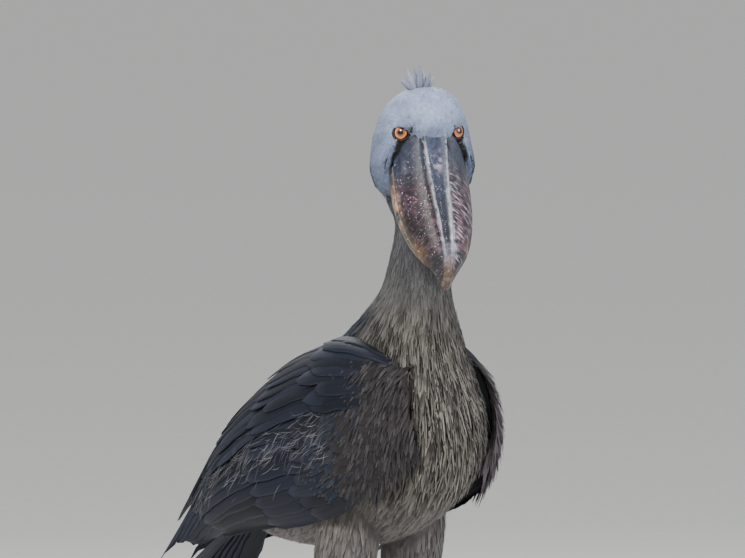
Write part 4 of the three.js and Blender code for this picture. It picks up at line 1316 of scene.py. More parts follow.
def feather_sheet(lay, half, thick, wave, rng, columns=7, rows=15, shape=FEATHER_SHAPE):
    """Vertices and faces of one broad feather: a thin closed vane with a ragged rim."""
    shares = np.linspace(0, 1, rows)
    widths = np.interp(shares, shape[:, 0], shape[:, 1])
    across = np.linspace(-1, 1, columns)
    s, x = np.meshgrid(shares, across, indexing="ij")
    fray = 1 + 0.05 * np.sin(s * 23 + rng.uniform(0, TAU)) * np.abs(x)
    fray = fray + rng.normal(0, 0.025, s.shape) * np.abs(x)
    aside = x * widths[:, None] * half * fray
    arch = (1 - x ** 2) * 1.1 * np.sin(np.clip(s, 0, 1) * math.pi) ** 0.5
    ripple = wave * np.sin(s * 9 + x * 2.2 + rng.uniform(0, TAU)) * s
    depth = thick * (1 - 0.55 * s) * (1 - 0.7 * np.abs(x) ** 3)
    top = lay(s, aside, arch + ripple)
    bottom = lay(s, aside, arch + ripple - depth)
    verts = np.concatenate([top.reshape(-1, 3), bottom.reshape(-1, 3)])
    faces = []
    n = rows * columns
    for r in range(rows - 1):
        for c in range(columns - 1):
            a = r * columns + c
            faces.append((a, a + 1, a + columns + 1, a + columns))
            faces.append((n + a, n + a + columns, n + a + columns + 1, n + a + 1))
        for c, flip in ((0, False), (columns - 1, True)):
            a, b = r * columns + c, (r + 1) * columns + c
            faces.append((a, n + a, n + b, b) if flip else (a, b, n + b, n + a))
    for r, flip in ((0, True), (rows - 1, False)):
        for c in range(columns - 1):
            a = r * columns + c
            faces.append((a, n + a, n + a + 1, a + 1) if flip else (a, a + 1, n + a + 1, n + a))
    spread = np.stack([x, s], -1).reshape(-1, 2)
    return verts, faces, np.concatenate([spread, spread])


class FeatherStack:
    """Gathers many feathers into one mesh."""

    def __init__(self):
        self.verts, self.faces, self.spread, self.colours, self.places = [], [], [], [], []
        self.start = 0

    def add(self, sheet, colour, place):
        """Adds a feather in one colour, with its place on the unwrapped skin."""
        verts, faces, spread = sheet
        self.verts.append(verts)
        self.faces += [tuple(i + self.start for i in f) for f in faces]
        self.spread.append(spread)
        self.colours.append(np.tile(colour, (len(verts), 1)))
        self.places.append(np.tile(place, (len(verts), 1)) + spread * BAKE_PATCH)
        self.start += len(verts)

    def build(self, name, side=1):
        """The feathers as one object, mirrored for the right side."""
        verts = np.concatenate(self.verts) * (side, 1, 1)
        faces = self.faces if side > 0 else [f[::-1] for f in self.faces]
        obj = new_object(name, verts, faces, [material_for("flight")])
        store_vane(obj, np.concatenate(self.spread))
        paint(obj, "Coat", np.concatenate(self.colours))
        places = np.concatenate(self.places)
        corner = np.empty(len(obj.data.loops), np.int32)
        obj.data.loops.foreach_get("vertex_index", corner)
        store_uv(obj, "OFBake", places[corner])
        return obj


def wing_stack(side):
    """All the feathers of one folded wing, in shingled tiers."""
    rng = np.random.default_rng(70 + side)
    stack = FeatherStack()
    for name, count, roots, tips, start, end, half, lift, step in WING_TIERS:
        for i in range(count):
            share = i / (count - 1)
            u0 = np.interp(share, (0, 1), roots) + rng.normal(0, 0.08)
            u1 = np.interp(share, (0, 1), tips) + rng.normal(0, 0.2 if name.startswith("scap") else 0.1)
            v0 = np.interp(share, (0, 1), start)
            v1 = np.interp(share, (0, 1), end) + rng.normal(0, 0.01)
            rise = lift + step * (1 - share)

            def lay(s, aside, height):
                u = u0 + (u1 - u0) * s
                deep = np.linalg.norm(wing_points(u, 0.0) - wing_points(u, 0.5), axis=-1) * 2
                v = v0 + (v1 - v0) * s + aside / np.maximum(deep, 70)
                out = -CORE_DEPTH - 1.5 + (rise + 1.5) * s ** 0.8 + aside * FEATHER_ROLL + height
                return wing_points(u, v) + wing_normals(u, v) * out[..., None]

            sheet = feather_sheet(lay, half * rng.uniform(0.93, 1.07), 1.0, 0.5, rng)
            dark = mix(tone("wing_dark"), tone("wing_slate"), rng.uniform(0, 1))
            pale = rng.random() * (0.35 if name in ("greater", "median", "lesser_low") else 0.1)
            colour = mix(dark, linear("#2E3240"), pale) * rng.uniform(0.8, 1.2)
            if name.startswith("lesser") or name == "median":
                colour = mix(colour, tone("shoulder") * 0.8, 1 - ease((u0 + u1) / 2, 1.3, 2.4))
            stack.add(sheet, colour, (0.05 + 0.88 * min(u0 / 9, 1), 0.1 + 0.8 * np.clip(v0, 0, 1)))
    return stack


def wing_core(side):
    """The wing's body under its feathers."""
    stations = np.linspace(0, 7.6, 60)
    across = np.linspace(0.01, 0.99, 22)
    u, v = np.meshgrid(stations, across, indexing="ij")
    normals = wing_normals(u, v)
    thick = np.interp(u, np.arange(10), WING_THICKNESS)
    outer = wing_points(u, v) - normals * CORE_DEPTH
    inner = wing_points(u, v) - normals * np.maximum(thick - 1, 3)[..., None]
    rings = np.concatenate([outer, inner[:, ::-1]], 1) * (side, 1, 1)
    core = closed_object("wing_core_" + ("left" if side > 0 else "right"), tube(rings), "skin")
    # Painted shade: the core is darker than the darkest feathers where it shows between them.
    paint(core, "Coat", np.tile(tone("wing_dark") * 0.7, (len(core.data.vertices), 1)))
    return core


def wing_tufts(name, side, uv, roots, flows, forms, colours, key):
    """Small vanes over a wing, worked out on the left one and mirrored for the right one."""
    u, v = uv
    mirror = np.array([side, 1, 1])
    places = np.stack([0.05 + 0.88 * u / 9, 0.1 + 0.8 * np.clip(v, 0, 1)], -1)
    obj = tufts(name + ("left" if side > 0 else "right"), roots * mirror, flows * mirror,
                wing_normals(u, v) * mirror, forms, colours, places, material_for(key), LANCE)
    place_piece(obj, "wing_plumage")


def wisps(side):
    """Pale frayed barbs that stand off the edges of the wing coverts."""
    rng = np.random.default_rng(90 + side)
    count = bpy.context.scene.shoebill_plumage.wisp_count
    u = rng.uniform(1.9, 6.4, count)
    v = np.clip(rng.normal(0.56, 0.08, count), 0.42, 0.9)
    points = wing_points(u, v) + wing_normals(u, v) * rng.uniform(2.5, 4.5, (count, 1))
    flows = unit(wing_points(u + 0.1, v) - wing_points(u - 0.1, v)) + [0, 0, -0.6]
    flows = flows + rng.normal(0, 0.3, (count, 3))
    forms = np.stack([
        rng.uniform(12, 34, count), rng.uniform(0.2, 0.34, count), rng.uniform(0.5, 2.5, count),
        rng.choice((-1, 1), count) * rng.uniform(3, 14, count), np.full(count, 0.3),
    ], -1)
    colours = mix(linear("#5E5E67"), linear("#95949B"), rng.random(count))
    wing_tufts("wing_wisps_", side, (u, v), points, flows, forms, colours, "soft")


def shoulder_coat(side):
    """Loose feathers from the breast's edge back over the front of a wing."""
    rng = np.random.default_rng(130 + side)
    fine = 6.6 if side > 0 else 5.0
    rows = []
    for u in np.arange(-0.15, 2.3, fine / 50):
        chord = np.linalg.norm(wing_points(max(u, 0), 0.0) - wing_points(max(u, 0), 0.5)) * 2
        low = np.interp(u, (0, 1.4, 2.3), (1.0, 0.98, 0.8))
        for v in np.arange(-0.04, low, fine / chord):
            if u < np.interp(v, (0, 0.3, 0.6), (1.5, 1.7, 2.3)):
                rows.append((u + rng.normal(0, 0.05), v + rng.normal(0, 0.012)))
    rows = np.array(rows)
    u, v = np.maximum(rows[:, 0], 0), rows[:, 1]
    count = len(rows)
    normals = wing_normals(u, v)
    roots = wing_points(u, v) + normals * rng.uniform(-0.5, 1.2, (count, 1))
    roots[:, 1] -= np.maximum(-rows[:, 0], 0) * 60
    back = unit(wing_points(u + 0.15, v) - wing_points(np.maximum(u - 0.15, 0), v))
    down = unit(wing_points(u, v + 0.05) - wing_points(u, v - 0.05))
    share = ease(u, 0.9, 2.2)[:, None]
    flows = down * (0.95 - 0.6 * share) + back * (0.35 + 0.65 * share) + rng.normal(0, 0.07, (count, 3))
    broad = share[:, 0]
    forms = np.stack([
        rng.uniform(3.8, 5.6, count) * fine + 9 * broad + (7 if side > 0 else 0),
        rng.uniform(0.36, 0.5, count) * fine + 2.6 * broad + (0.8 if side > 0 else 0),
        rng.uniform(1.0, 2.6, count) + 0.8 * broad,
        rng.normal(0, 1.5, count),
        np.full(count, 0.5),
    ], -1)
    brown = mix(tone("shoulder"), linear("#423F41"), rng.random(count) ** 2)
    if side > 0:
        brown = mix(linear("#2C272B"), linear("#5E545A"), rng.random(count) ** 2)
    turn = u + rng.normal(0, 0.22, count) - np.interp(v, (0.2, 0.6), (0, 0.4))
    colours = mix(brown, tone("mantle"), ease(turn, 0.9, 1.7))
    colours = colours * rng.uniform(0.7, 1.3, count)[:, None]
    wing_tufts("shoulder_", side, (u, v), roots, flows, forms, colours, "shoulder")


def build_wing(side, name):
    """A folded wing with its feathers."""
    core = wing_core(side)
    place_piece(core, "wing_plumage", "wing_" + name)
    feathers = wing_stack(side).build("wing_feathers_" + name, side)
    place_piece(feathers, "wing_plumage", "wing_" + name)
    shoulder_coat(side)
    wisps(side)


def on_tail(reach, aside, over):
    """Tail coordinates to body points."""
    droop = math.radians(TAIL_DROOP)
    forward = TAIL_ROOT[0] - reach * math.cos(droop) - over * math.sin(droop)
    up = TAIL_ROOT[1] - reach * math.sin(droop) + over * math.cos(droop)
    return np.stack([aside + 0 * reach, -forward, up], -1)


def build_tail():
    """Twelve tail feathers with their coverts and a root."""
    rng = np.random.default_rng(101)
    stack = FeatherStack()
    for side in (1, -1):
        for i in range(6):
            fan = math.radians(1.2 + i * 2.5)
            length = millimetres("tail_length") - 1.4 * i * i
            for reach_start, span, half, over in ((0.1, 0.9, 13.5, 0), (0.02, 0.42, 11, 3.6)):
                def lay(s, aside, height):
                    reach = length * (reach_start + span * s)
                    out = 4 + i * 2.7 + reach * math.sin(fan) + side * aside
                    sunk = 0.004 * out * out + i * 1.3
                    return on_tail(reach * math.cos(fan), side * out, height - sunk + over)
                sheet = feather_sheet(lay, half, 0.9, 0.3, rng)
                colour = mix(tone("wing_dark"), tone("wing_slate"), rng.random()) * rng.uniform(0.85, 1.15)
                if side < 0:
                    sheet = (sheet[0], [f[::-1] for f in sheet[1]], sheet[2])
                stack.add(sheet, colour, (0.4 + 0.03 * i * side, 0.3 + 0.2 * reach_start))
    obj = stack.build("tail_feathers")
    place_piece(obj, "wing_plumage", "tail")
    angles = np.arange(28) * TAU / 28
    rows = np.array([(-26, 19, 14), (10, 22, 11), (42, 24, 7), (66, 21, 3), (70, 16, 1)], float)
    places = smooth_rows(rows, np.linspace(0, 4, 24))
    aside = places[:, 1:2] * np.cos(angles)
    over = places[:, 2:3] * np.sin(angles) - 0.004 * aside ** 2 - 2
    points = on_tail(places[:, :1] + 0 * aside, aside, over)
    root = closed_object("tail_root", tube(points), "skin")
    paint(root, "Coat", np.tile(tone("wing_dark"), (len(root.data.vertices), 1)))
    place_piece(root, "wing_plumage", "tail")


# Crest


# Place aside, lean in degrees, length and half-width; the first nine stand in front.
CREST = (
    (-23, -52, 20, 2.0), (-21, -44, 29, 2.2), (-18, -30, 20, 2.0), (-16, -22, 37, 2.3),
    (-12, -11, 27, 2.2), (-9, -3, 41, 2.8), (-5, 4, 33, 2.3), (-1, 12, 28, 2.2), (3, 25, 22, 2.0),
    (-19, -37, 25, 1.7), (-10, -14, 34, 1.8), (-3, 16, 26, 1.7), (-7, 1, 26, 1.9), (-14, -27, 24, 1.7),
    (-6, -6, 36, 1.7), (-2, 8, 21, 1.6), (-22, -58, 13, 1.6), (2, 34, 15, 1.6),
)
POINTED = np.array([(0, 0.5), (0.2, 0.9), (0.45, 1), (0.7, 0.75), (0.88, 0.4), (1, 0.05)])


def build_crest():
    """The short tuft on the back of the crown."""
    rng = np.random.default_rng(111)
    stack = FeatherStack()
    for i, (aside0, lean, length, half) in enumerate(CREST):
        bend = math.radians(lean)
        layer = (i % 2) * 2.6 if i < 9 else -2.4

        def lay(s, across, height):
            reach = length * s - 4
            side = aside0 + reach * math.sin(bend) + across * math.cos(bend)
            rise = reach * math.cos(bend) - across * math.sin(bend)
            step = layer + height * 0.5
            over = 22 + 0.55 * rise + 0.72 * step + 1.5 * s * s
            return on_head(-47 - 0.72 * rise + 0.55 * step, over, side)

        sheet = feather_sheet(lay, half * 1.45, 0.6, 0.3, rng, columns=5, rows=12, shape=POINTED)
        colour = mix(tone("crest_pale"), tone("crest_dark"), rng.random())
        stack.add(sheet, colour, (0.7 + 0.004 * i, 0.55))
    obj = stack.build("crest")
    place_piece(obj, "head_plumage")


# Bill


def bill_points(table, section, steps, lip=0.0):
    """Rings of a bill half from its station table and section."""
    rows = smooth_rows(table, np.linspace(0, len(table) - 1, steps))
    along, half, top, edge = rows[:, 0:1], rows[:, 1:2], rows[:, 2:3], rows[:, 3:4]
    if len(table[0]) > 4:
        plate = rows[:, 4:5]
    else:
        top, edge, plate = rows[:, 2:3] - lip, rows[:, 3:4], half / 3
    aside, height = section[:, 0][None], section[:, 1][None]
    across = np.where(aside < 0, plate * (1 + aside), plate + (half - plate) * aside)
    over = edge + (top - edge) * height
    across = np.concatenate([across, -across[:, -2:0:-1]], 1)
    over = np.concatenate([over, over[:, -2:0:-1]], 1)
    return along + 0 * across, over, across


def horn_tone(name):
    """A colour of the bill from the add-on's settings."""
    return tone(name, "shoebill_bill")


def bill_zones(local, upper):
    """The bill's colours by place, and how scratched each place is."""
    along, aside = local[:, 0], np.abs(local[:, 2])
    left = local[:, 2] > 0
    blotch = noise(local, 13, 7)
    patch = noise(local, 5, 9)
    plate = np.interp(along, UPPER_BILL[:, 0], UPPER_BILL[:, 4]) + 1.6 * (patch - 0.5)
    half = np.interp(along, UPPER_BILL[:, 0], UPPER_BILL[:, 1])
    colour = mix(horn_tone("slate"), horn_tone("plum"), ease(along + 34 * (blotch - 0.5), 52, 96))
    pink = ease(patch, 0.52, 0.8) * ease(along, 55, 110)
    colour = mix(colour, horn_tone("pink"), pink * np.where(left, 0.9, 0.65))
    steel = ease(blotch, 0.6, 0.85) * (1 - ease(along, 80, 130)) * 0.7
    colour = mix(colour, linear("#6C6E84"), steel)
    on_plate = 1 - ease(aside - plate, -1.2, 0.4)
    navy = mix(horn_tone("plate_pale"), horn_tone("plate_dark"), ease(along, 40, 150))
    # Painted shade in the groove along the plate's middle, towards the tip.
    groove = (1 - ease(aside, 0.8, 2.6)) * ease(along, 110, 150) * 0.8
    navy = mix(navy, linear("#151826"), groove)
    rubbed = (1 - ease(np.abs(aside - 2), 1.5, 4)) * ease(along, 40, 52)
    rubbed = rubbed * (1 - ease(along, 66, 84)) * ease(patch, 0.35, 0.6) * 0.8
    navy = mix(navy, linear("#B9A9B9"), rubbed)
    colour = mix(colour, navy, on_plate)
    wide = np.where(left, np.interp(along, (30, 110, 180), (1.5, 3.4, 4.2)), 1.6)
    wide = wide + 1.8 * (noise(local, 3.5, 12) - 0.5)
    ridge = 1 - ease(np.abs(aside - plate - 0.9), wide * 0.4, wide)
    ridge = ridge * (1 - ease(along, 188, 204)) * ease(patch + 0.25, 0.3, 0.6)
    colour = mix(colour, horn_tone("ridge"), ridge * 0.9)
    rim = ease(aside / np.maximum(half, 1), 0.93, 0.985) * ease(along, 62, 76)
    peach = ease(blotch, 0.35, 0.6) * (1 - ease(along, 118, 142))
    peach = peach * (0.3 + 0.7 * ease(patch, 0.3, 0.6))
    rim_tone = mix(linear("#4E4838"), horn_tone("edge"), peach)
    colour = mix(colour, rim_tone, rim * np.where(left, 0.3, 0.85))
    scuffed = ease(along, 172, 188) * (1 - ease(along, 200, 210)) * (1 - ease(aside, 7, 13))
    colour = mix(colour, linear("#9C9BAE"), scuffed * (0.2 + 0.4 * patch))
    share = aside / np.maximum(half, 1)
    ochre = ease(along, 158, 170) * (1 - ease(along, 192, 200)) * ease(share, 0.76, 0.9)
    ochre = ochre * ease(blotch, 0.25, 0.5) * 0.7
    colour = mix(colour, mix(linear("#75602F"), linear("#7C5048"), patch), ochre)
    # Painted shade in the hollow on each side of the nail, less near the cutting edge.
    hollow_shade = ease(along, 184, 193) * ease(aside, 6.8, 9.0) * (1 - 0.6 * ease(share, 0.9, 0.98))
    colour = mix(colour, linear("#1D1C24"), hollow_shade * 0.92)
    nail = ease(along + (patch - 0.5) * 8, 192, 202) * (1 - ease(aside, 6.2, 7.6))
    horn = mix(horn_tone("nail"), linear("#6B5A47"), ease(along + 10 * (patch - 0.5), 200, 216))
    colour = mix(colour, horn, nail * 0.92)
    colour = mix(colour, linear("#33241F"), ease(along, 219, 228) * 0.8)
    scratched = ease(along, 60, 100) * (1 - on_plate) * (1 - nail)
    scratched = scratched * np.where(left, 0.85, 0.08) + 0.08
    if not upper:
        worn = ease(along, 62, 84) * (1 - ease(along, 128, 150)) * ease(blotch, 0.35, 0.6)
        worn = worn * (0.35 + 0.65 * ease(noise(local * (0.4, 1, 1), 3, 15), 0.35, 0.6))
        colour = mix(linear("#383234"), horn_tone("lower"), worn)
        colour = mix(colour, linear("#5A4F38"), ease(along, 128, 150) * 0.8)
        scratched = 0.3 + 0 * along
    colour = colour * (0.62 if upper else 0.8)
    return colour, np.clip(scratched, 0, 1)


SCRATCH_LEAN = 38.0
SCRATCH_WIDE = 1.5
SCRATCH_LONG = 15.0


def bill_grain(local):
    """Places counted in widths and lengths of a scratch, and how freckled each place is."""
    along, aside = local[:, 0], np.abs(local[:, 2])
    lean = math.radians(SCRATCH_LEAN)
    width = (along * math.cos(lean) - aside * math.sin(lean)) / SCRATCH_WIDE
    length = (along * math.sin(lean) + aside * math.cos(lean)) / SCRATCH_LONG
    freckled = np.where(local[:, 2] > 0, 0.35, 1.0) * ease(along, 30, 70)
    return np.stack([width, length, freckled], -1)


def build_bill_part(name, table, section, steps, lip, node):
    """One half of the bill with its zones painted."""
    along, over, across = bill_points(table, section, steps, lip)
    if node == "bill_upper":
        middle = np.abs(across) < 60
        waver = 0.35 * np.sin(along * 0.21 + np.sign(across) * 1.3) * middle
        over = over + waver * np.clip((np.abs(across) - 6) / 20, 0, 1)
    obj = closed_object(name, tube(on_head(along, over, across)), "bill")
    local = to_head(mesh_points(obj))
    colours, scratched = bill_zones(local, node == "bill_upper")
    layer = obj.data.color_attributes.new("Zone", "FLOAT_COLOR", "POINT")
    zones = np.concatenate([colours, scratched[:, None]], 1).astype(np.float32)
    layer.data.foreach_set("color", zones.ravel())
    store_vane(obj, local * MM, "Bill")
    store_vane(obj, bill_grain(local), "Grain")
    place_piece(obj, "bill_horn", node)
    return obj


def build_nostrils():
    """The slit of each nostril, in the groove beside the central plate."""
    axes = np.stack([HEAD_AXES[:, 0], HEAD_AXES[:, 2], HEAD_AXES[:, 1]], -1)
    slits = [ellipsoid(on_head(39, 25.6, side * 17.2), axes, (6, 0.9, 1.2), 16, 10) for side in (1, -1)]
    obj = closed_object("nostrils", join_parts(slits), "lid")
    place_piece(obj, "bill_horn")


# Eyes


def build_eye(side, name):
    """An eyeball with a bulging cornea, its iris mapped round the way it looks."""
    centre, look, right, up = eye_axes(side)
    down = np.concatenate([np.linspace(0.02, 1.0, 34), np.linspace(1.06, math.pi - 0.03, 18)])[:, None]
    around = (np.arange(64) * TAU / 64)[None]
    bulge = 1 + 0.035 * (1 - ease(down, 0.3, 0.85))
    wide = np.sin(down)
    local = np.stack([wide * np.cos(around), wide * np.sin(around), np.cos(down) + 0 * around], -1)
    points = (local * (EYE_RADIUS * 0.99 * bulge)[..., None]) @ np.stack([right, up, look]) + centre
    obj = closed_object("eyeball_" + name, tube(points), "eye")
    flat = (mesh_points(obj) - centre) / EYE_RADIUS
    disc = np.stack([flat @ right, flat @ up], -1)
    disc[(flat @ look) < 0] *= 3
    store_vane(obj, disc, "Iris")
    place_piece(obj, "eye", "eye_" + name)


# Degrees from the look to a lid's edge: above, below, at the inner corner and at the outer one.
LID_OPENING = (22.0, 43.0, 52.0, 47.0)
# From the edge of the opening to the orbit: share of the way and radius in millimetres.
LID_SECTION = (
    (0, 12.85), (0, 13.6), (0.06, 14.2), (0.16, 14.4), (0.32, 14.3), (0.55, 14.6), (0.8, 14.2), (1, 13),
)


def build_lids(side, name):
    """Upper and lower lid as one thick shell round an almond opening."""
    centre, look, right, up = eye_axes(side)
    angles = np.arange(72) * TAU / 72
    inner = inner_way(right, side)
    across, rise = np.cos(angles), np.sin(angles)
    slant = math.radians(LID_SLANT)
    turned = inner * across * math.cos(slant) - rise * math.sin(slant)
    raised = inner * across * math.sin(slant) + rise * math.cos(slant)
    opening = np.where(raised > 0, *LID_OPENING[:2])
    opening = opening + (np.where(turned > 0, *LID_OPENING[2:]) - opening) * np.abs(turned) ** 2.4
    opening = np.radians(opening)
    rings = []
    for share, radius in LID_SECTION:
        polar = opening + (math.radians(98) - opening) * share
        crease = 0.28 * np.sin(share * 40 + angles * 2) * share
        spot = (right * (np.sin(polar) * across)[:, None] + up * (np.sin(polar) * rise)[:, None]
                + look * np.cos(polar)[:, None])
        rings.append(centre + spot * (radius + crease)[:, None])
    points = np.array(rings)
    back = centre + (points[-1] - centre) * 0.9
    points = np.concatenate([points, back[None], (centre + (points[0] - centre) * 0.985)[None]])
    count, around = points.shape[:2]
    faces = [tuple(f) for f in grid_faces(count, around)]
    last = (count - 1) * around
    faces += [(last + k, last + (k + 1) % around, (k + 1) % around, k) for k in range(around)]
    obj = closed_object("lids_" + name, (points.reshape(-1, 3), faces), "lid")
    place_piece(obj, "head_plumage")


# Legs


def leg_pattern(obj, share):
    """Coordinates that count horn plates, each a share of the legs' plate size."""
    store_vane(obj, mesh_points(obj) / (millimetres("plate_size", "shoebill_legs") * share), "Leg")


def build_shank(side, name):
    """Bare leg from the thigh to the foot, with broad plates down its front."""
    places, angles = ring_grid(np.linspace(0, len(SHANK) - 1, 170), 40)
    rows = smooth_rows(SHANK, places)
    front = np.clip(np.cos(angles), 0, 1) ** 1.5
    step = np.abs(((rows[..., 1] / 8.5) % 1) - 0.5) * 2
    plate = -0.55 * front * ease(step, 0.72, 1.0)
    spots = np.stack([rows[..., 1], 20 * np.cos(angles), 20 * np.sin(angles)], -1)
    knob = 0.5 * noise(spots.reshape(-1, 3), 4, 2).reshape(places.shape)
    radius = rows[..., 3] * (1 + 0.08 * np.cos(2 * angles)) + plate + knob - 0.4
    obj = closed_object("leg_" + name, tube(limb_points(rows, radius, angles, side)), "leg")
    leg_pattern(obj, 1.0)
    place_piece(obj, "leg_skin", "shank_" + name, "foot_" + name)


def toe_grid(rows, turn, side, steps, around, floor, wobble=0.0):
    """Rings of a flat-soled toe or claw."""
    places, angles = ring_grid(np.linspace(0, len(rows) - 1, steps), around)
    row = smooth_rows(rows, places)
    heading = math.radians(turn)
    reach, radius, lift = row[..., 0], row[..., 1], row[..., 2]
    seam = ease(np.abs(((reach / 7.0) % 1) - 0.5) * 2, 0.7, 1)
    plates = 1 - 0.06 * wobble * seam * np.clip(np.sin(angles), 0, 1)
    aside = radius * np.cos(angles) * plates
    up = np.maximum(radius * (np.sin(angles) * plates + TOE_HEIGHT) + lift, floor)
    forward = reach * math.cos(heading) - aside * math.sin(heading)
    out = FOOT_OUT + reach * math.sin(heading) + aside * math.cos(heading)
    return np.stack([side * out, -forward, up], -1)


def build_toes(side, name):
    """The four toes of a foot, each on its node, and their claws."""
    for toe, turn, length, thick, thin in TOES:
        rows = [(-2.0, thick * 1.1, 0.0), (TOE_START * 0.55, thick * 1.08, 0.0)]
        for i in range(7):
            share = i / 6
            swell = 0.9 if i % 2 else 1.06
            rows.append((TOE_START + length * share, (thick + (thin - thick) * share) * swell, 0.0))
        rows[-1] = (TOE_START + length, thin * 0.95, 0.0)
        points = toe_grid(np.array(rows), turn, side, 84, 28, 0.0, 1.0)
        obj = closed_object(f"toe_skin_{toe}_{name}", tube(points), "leg")
        leg_pattern(obj, 14 / 15)
        place_piece(obj, "leg_skin", f"toe_{toe}_{name}")
        start = TOE_START + length - 3
        claw_rows = np.array([
            (start, thin * 0.78, 0.5), (start + 3 + CLAW_LENGTH * 0.4, thin * 0.6, 1.6),
            (start + 3 + CLAW_LENGTH * 0.75, thin * 0.33, 1.2), (start + 3.2 + CLAW_LENGTH, 0.35, 0.4),
        ])
        points = toe_grid(claw_rows, turn, side, 26, 20, 0.15)
        claw = closed_object(f"claw_horn_{toe}_{name}", tube(points), "claw")
        place_piece(claw, "claw_horn", f"claw_{toe}_{name}")


# Stage


# Millimetres that one pixel spans at the head, the picture's size and the head's place in it.
PIXEL = 1.333
FRAME_WIDE, FRAME_HIGH = 745, 558
HEAD_RIGHT, HEAD_DOWN = 427, 127
FLOOR_HALF = 40.0
LIGHT_TARGET = Vector((0, 0, 0.95))
# Name, place and diameter in metres, power in watts, and colour.
LIGHTS = (
    ("key", (-3.8, -2.4, 4.2), 1.5, 420, "#FFFDF8"),
    ("fill", (2.2, -4.0, 2.2), 2.4, 145, "#F4F7FF"),
    ("rim", (1.8, 3.0, 3.4), 2.2, 120, "#F8FAFF"),
    ("top", (-0.4, -0.4, 4.4), 3.0, 60, "#FFFFFF"),
)


def build_stage(settings):
    """Floor, lights and the camera of the photograph."""
    corners = [(x * FLOOR_HALF, y * FLOOR_HALF, 0) for x, y in ((-1, -1), (1, -1), (1, 1), (-1, 1))]
    mesh = bpy.data.meshes.new("floor")
    mesh.from_pydata(corners, [], [(0, 1, 2, 3)])
    mesh.materials.append(material_for("floor"))
    link_object("floor", mesh)
    azimuth, elevation = settings.azimuth, settings.elevation
    back = np.array([
        math.sin(azimuth) * math.cos(elevation),
        -math.cos(azimuth) * math.cos(elevation),
        math.sin(elevation),
    ])
    right = np.array([math.cos(azimuth), math.sin(azimuth), 0])
    up = np.cross(back, right)
    target = HEAD_PLACE + SHIFT + right * (FRAME_WIDE / 2 - HEAD_RIGHT) * PIXEL
    target = target - up * (FRAME_HIGH / 2 - HEAD_DOWN) * PIXEL
    camera_data = bpy.data.cameras.new("camera")
    camera_data.sensor_width = 36
    camera_data.lens = 36 * settings.distance / (FRAME_WIDE * PIXEL * MM)
    camera_data.clip_end = 200
    camera = link_object("camera", camera_data)
    rotation = Matrix((right, up, back)).transposed()
    camera.matrix_world = Matrix.Translation(target * MM + back * settings.distance) @ rotation.to_4x4()
    bpy.context.scene.camera = camera
    for name, place, size, power, colour in LIGHTS:
        data = bpy.data.lights.new(name, "AREA")
        data.shape = "DISK"
        data.size = size
        data.energy = power * settings.brightness
        data.color = linear(colour)
        lamp = link_object(name, data)
        lamp.location = place
        lamp.rotation_euler = (LIGHT_TARGET - Vector(place)).to_track_quat("-Z", "Y").to_euler()
    world = bpy.data.worlds.new("studio")
    world.use_nodes = True
    background = world.node_tree.nodes["Background"]
    background.inputs["Color"].default_value = (*linear("#E6E8EA"), 1)
    background.inputs["Strength"].default_value = settings.ambient
    bpy.context.scene.world = world


# Add-on


def tint(name, description, code):
    """A colour property whose default is given as sRGB hex."""
    return bpy.props.FloatVectorProperty(
        name=name, description=description, default=linear(code).tolist(), subtype="COLOR", min=0, max=1)


class ShoebillPlumage(bpy.types.PropertyGroup):
    """Colours and sizes of the feathers."""

    crown: tint("Crown", "Pale feathers over the top of the head", "#929FBD")
    # Cheek, nape and neck: their own grey, set darker as painted shade below and beside the bill.
    cheek: tint("Cheek", "Feathers beside the bill", "#69748D")
    nape: tint("Nape", "Feathers below the head", "#51565F")
    neck: tint("Neck", "Feathers of the neck", "#4C4D50")
    breast: tint("Breast", "Feathers of the breast", "#6E6A64")
    # Partly the breast's own streaks, partly painted shade between its plumes.
    breast_streaks_and_shade: tint("Breast streaks", "Dark streaks among the breast's feathers", "#29282A")
    belly: tint("Belly", "Feathers between the legs", "#615C5A")
    thigh: tint("Thighs", "Feathers of the thighs", "#65646A")
    mantle: tint("Mantle", "Feathers of the back", "#1A212C")
    shoulder: tint("Shoulders", "Feathers over the bend of a wing", "#2A2728")
    wing_dark: tint("Wings, dark", "Darkest wing and tail feathers", "#0B0D13")
    wing_slate: tint("Wings, slate", "Lighter wing and tail feathers", "#191D2A")
    crest_pale: tint("Crest, pale", "Palest feathers of the crest", "#A6ABBF")
    crest_dark: tint("Crest, dark", "Darkest feathers of the crest", "#6F758C")
    head_spacing: bpy.props.FloatProperty(
        name="Head feather spacing", description="Between the roots of the feathers round the face",
        default=1.75 * MM, min=1.5 * MM, unit="LENGTH")
    skin_depth: bpy.props.FloatProperty(
        name="Coat depth", description="From the outer form of neck, torso and thighs in to the skin",
        default=2.2 * MM, min=0.5 * MM, unit="LENGTH")
    tail_length: bpy.props.FloatProperty(
        name="Tail length", description="Length of the middle tail feathers", default=205 * MM, unit="LENGTH")
    wisp_count: bpy.props.IntProperty(
        name="Loose barbs", description="Pale frayed barbs on each wing", default=300, min=1)


class ShoebillBill(bpy.types.PropertyGroup):
    """Colours of the bill."""

    slate: tint("Base", "Horn near the feathers", "#333A4C")
    plum: tint("Sides", "Dark horn of the sides", "#24171F")
    pink: tint("Mottles", "Pink mottles on the sides", "#704B5C")
    plate_pale: tint("Plate, base", "Central plate near the feathers", "#38425C")
    plate_dark: tint("Plate, end", "Central plate near the nail", "#1C2233")
    ridge: tint("Ridges", "Worn ridges beside the central plate", "#C2C4D0")
    nail: tint("Nail", "Pale root of the hooked nail", "#A08A90")
    edge: tint("Cutting edge", "Pale worn edge of the upper bill", "#A48570")
    lower: tint("Lower bill", "Pale worn side of the lower bill", "#A67D63")


class ShoebillEyes(bpy.types.PropertyGroup):
    """Colours of the eyes."""

    iris: tint("Iris", "Amber of the iris", "#C0642A")
    iris_pale: tint("Iris, outer ring", "Paler ring of the iris", "#E39A62")


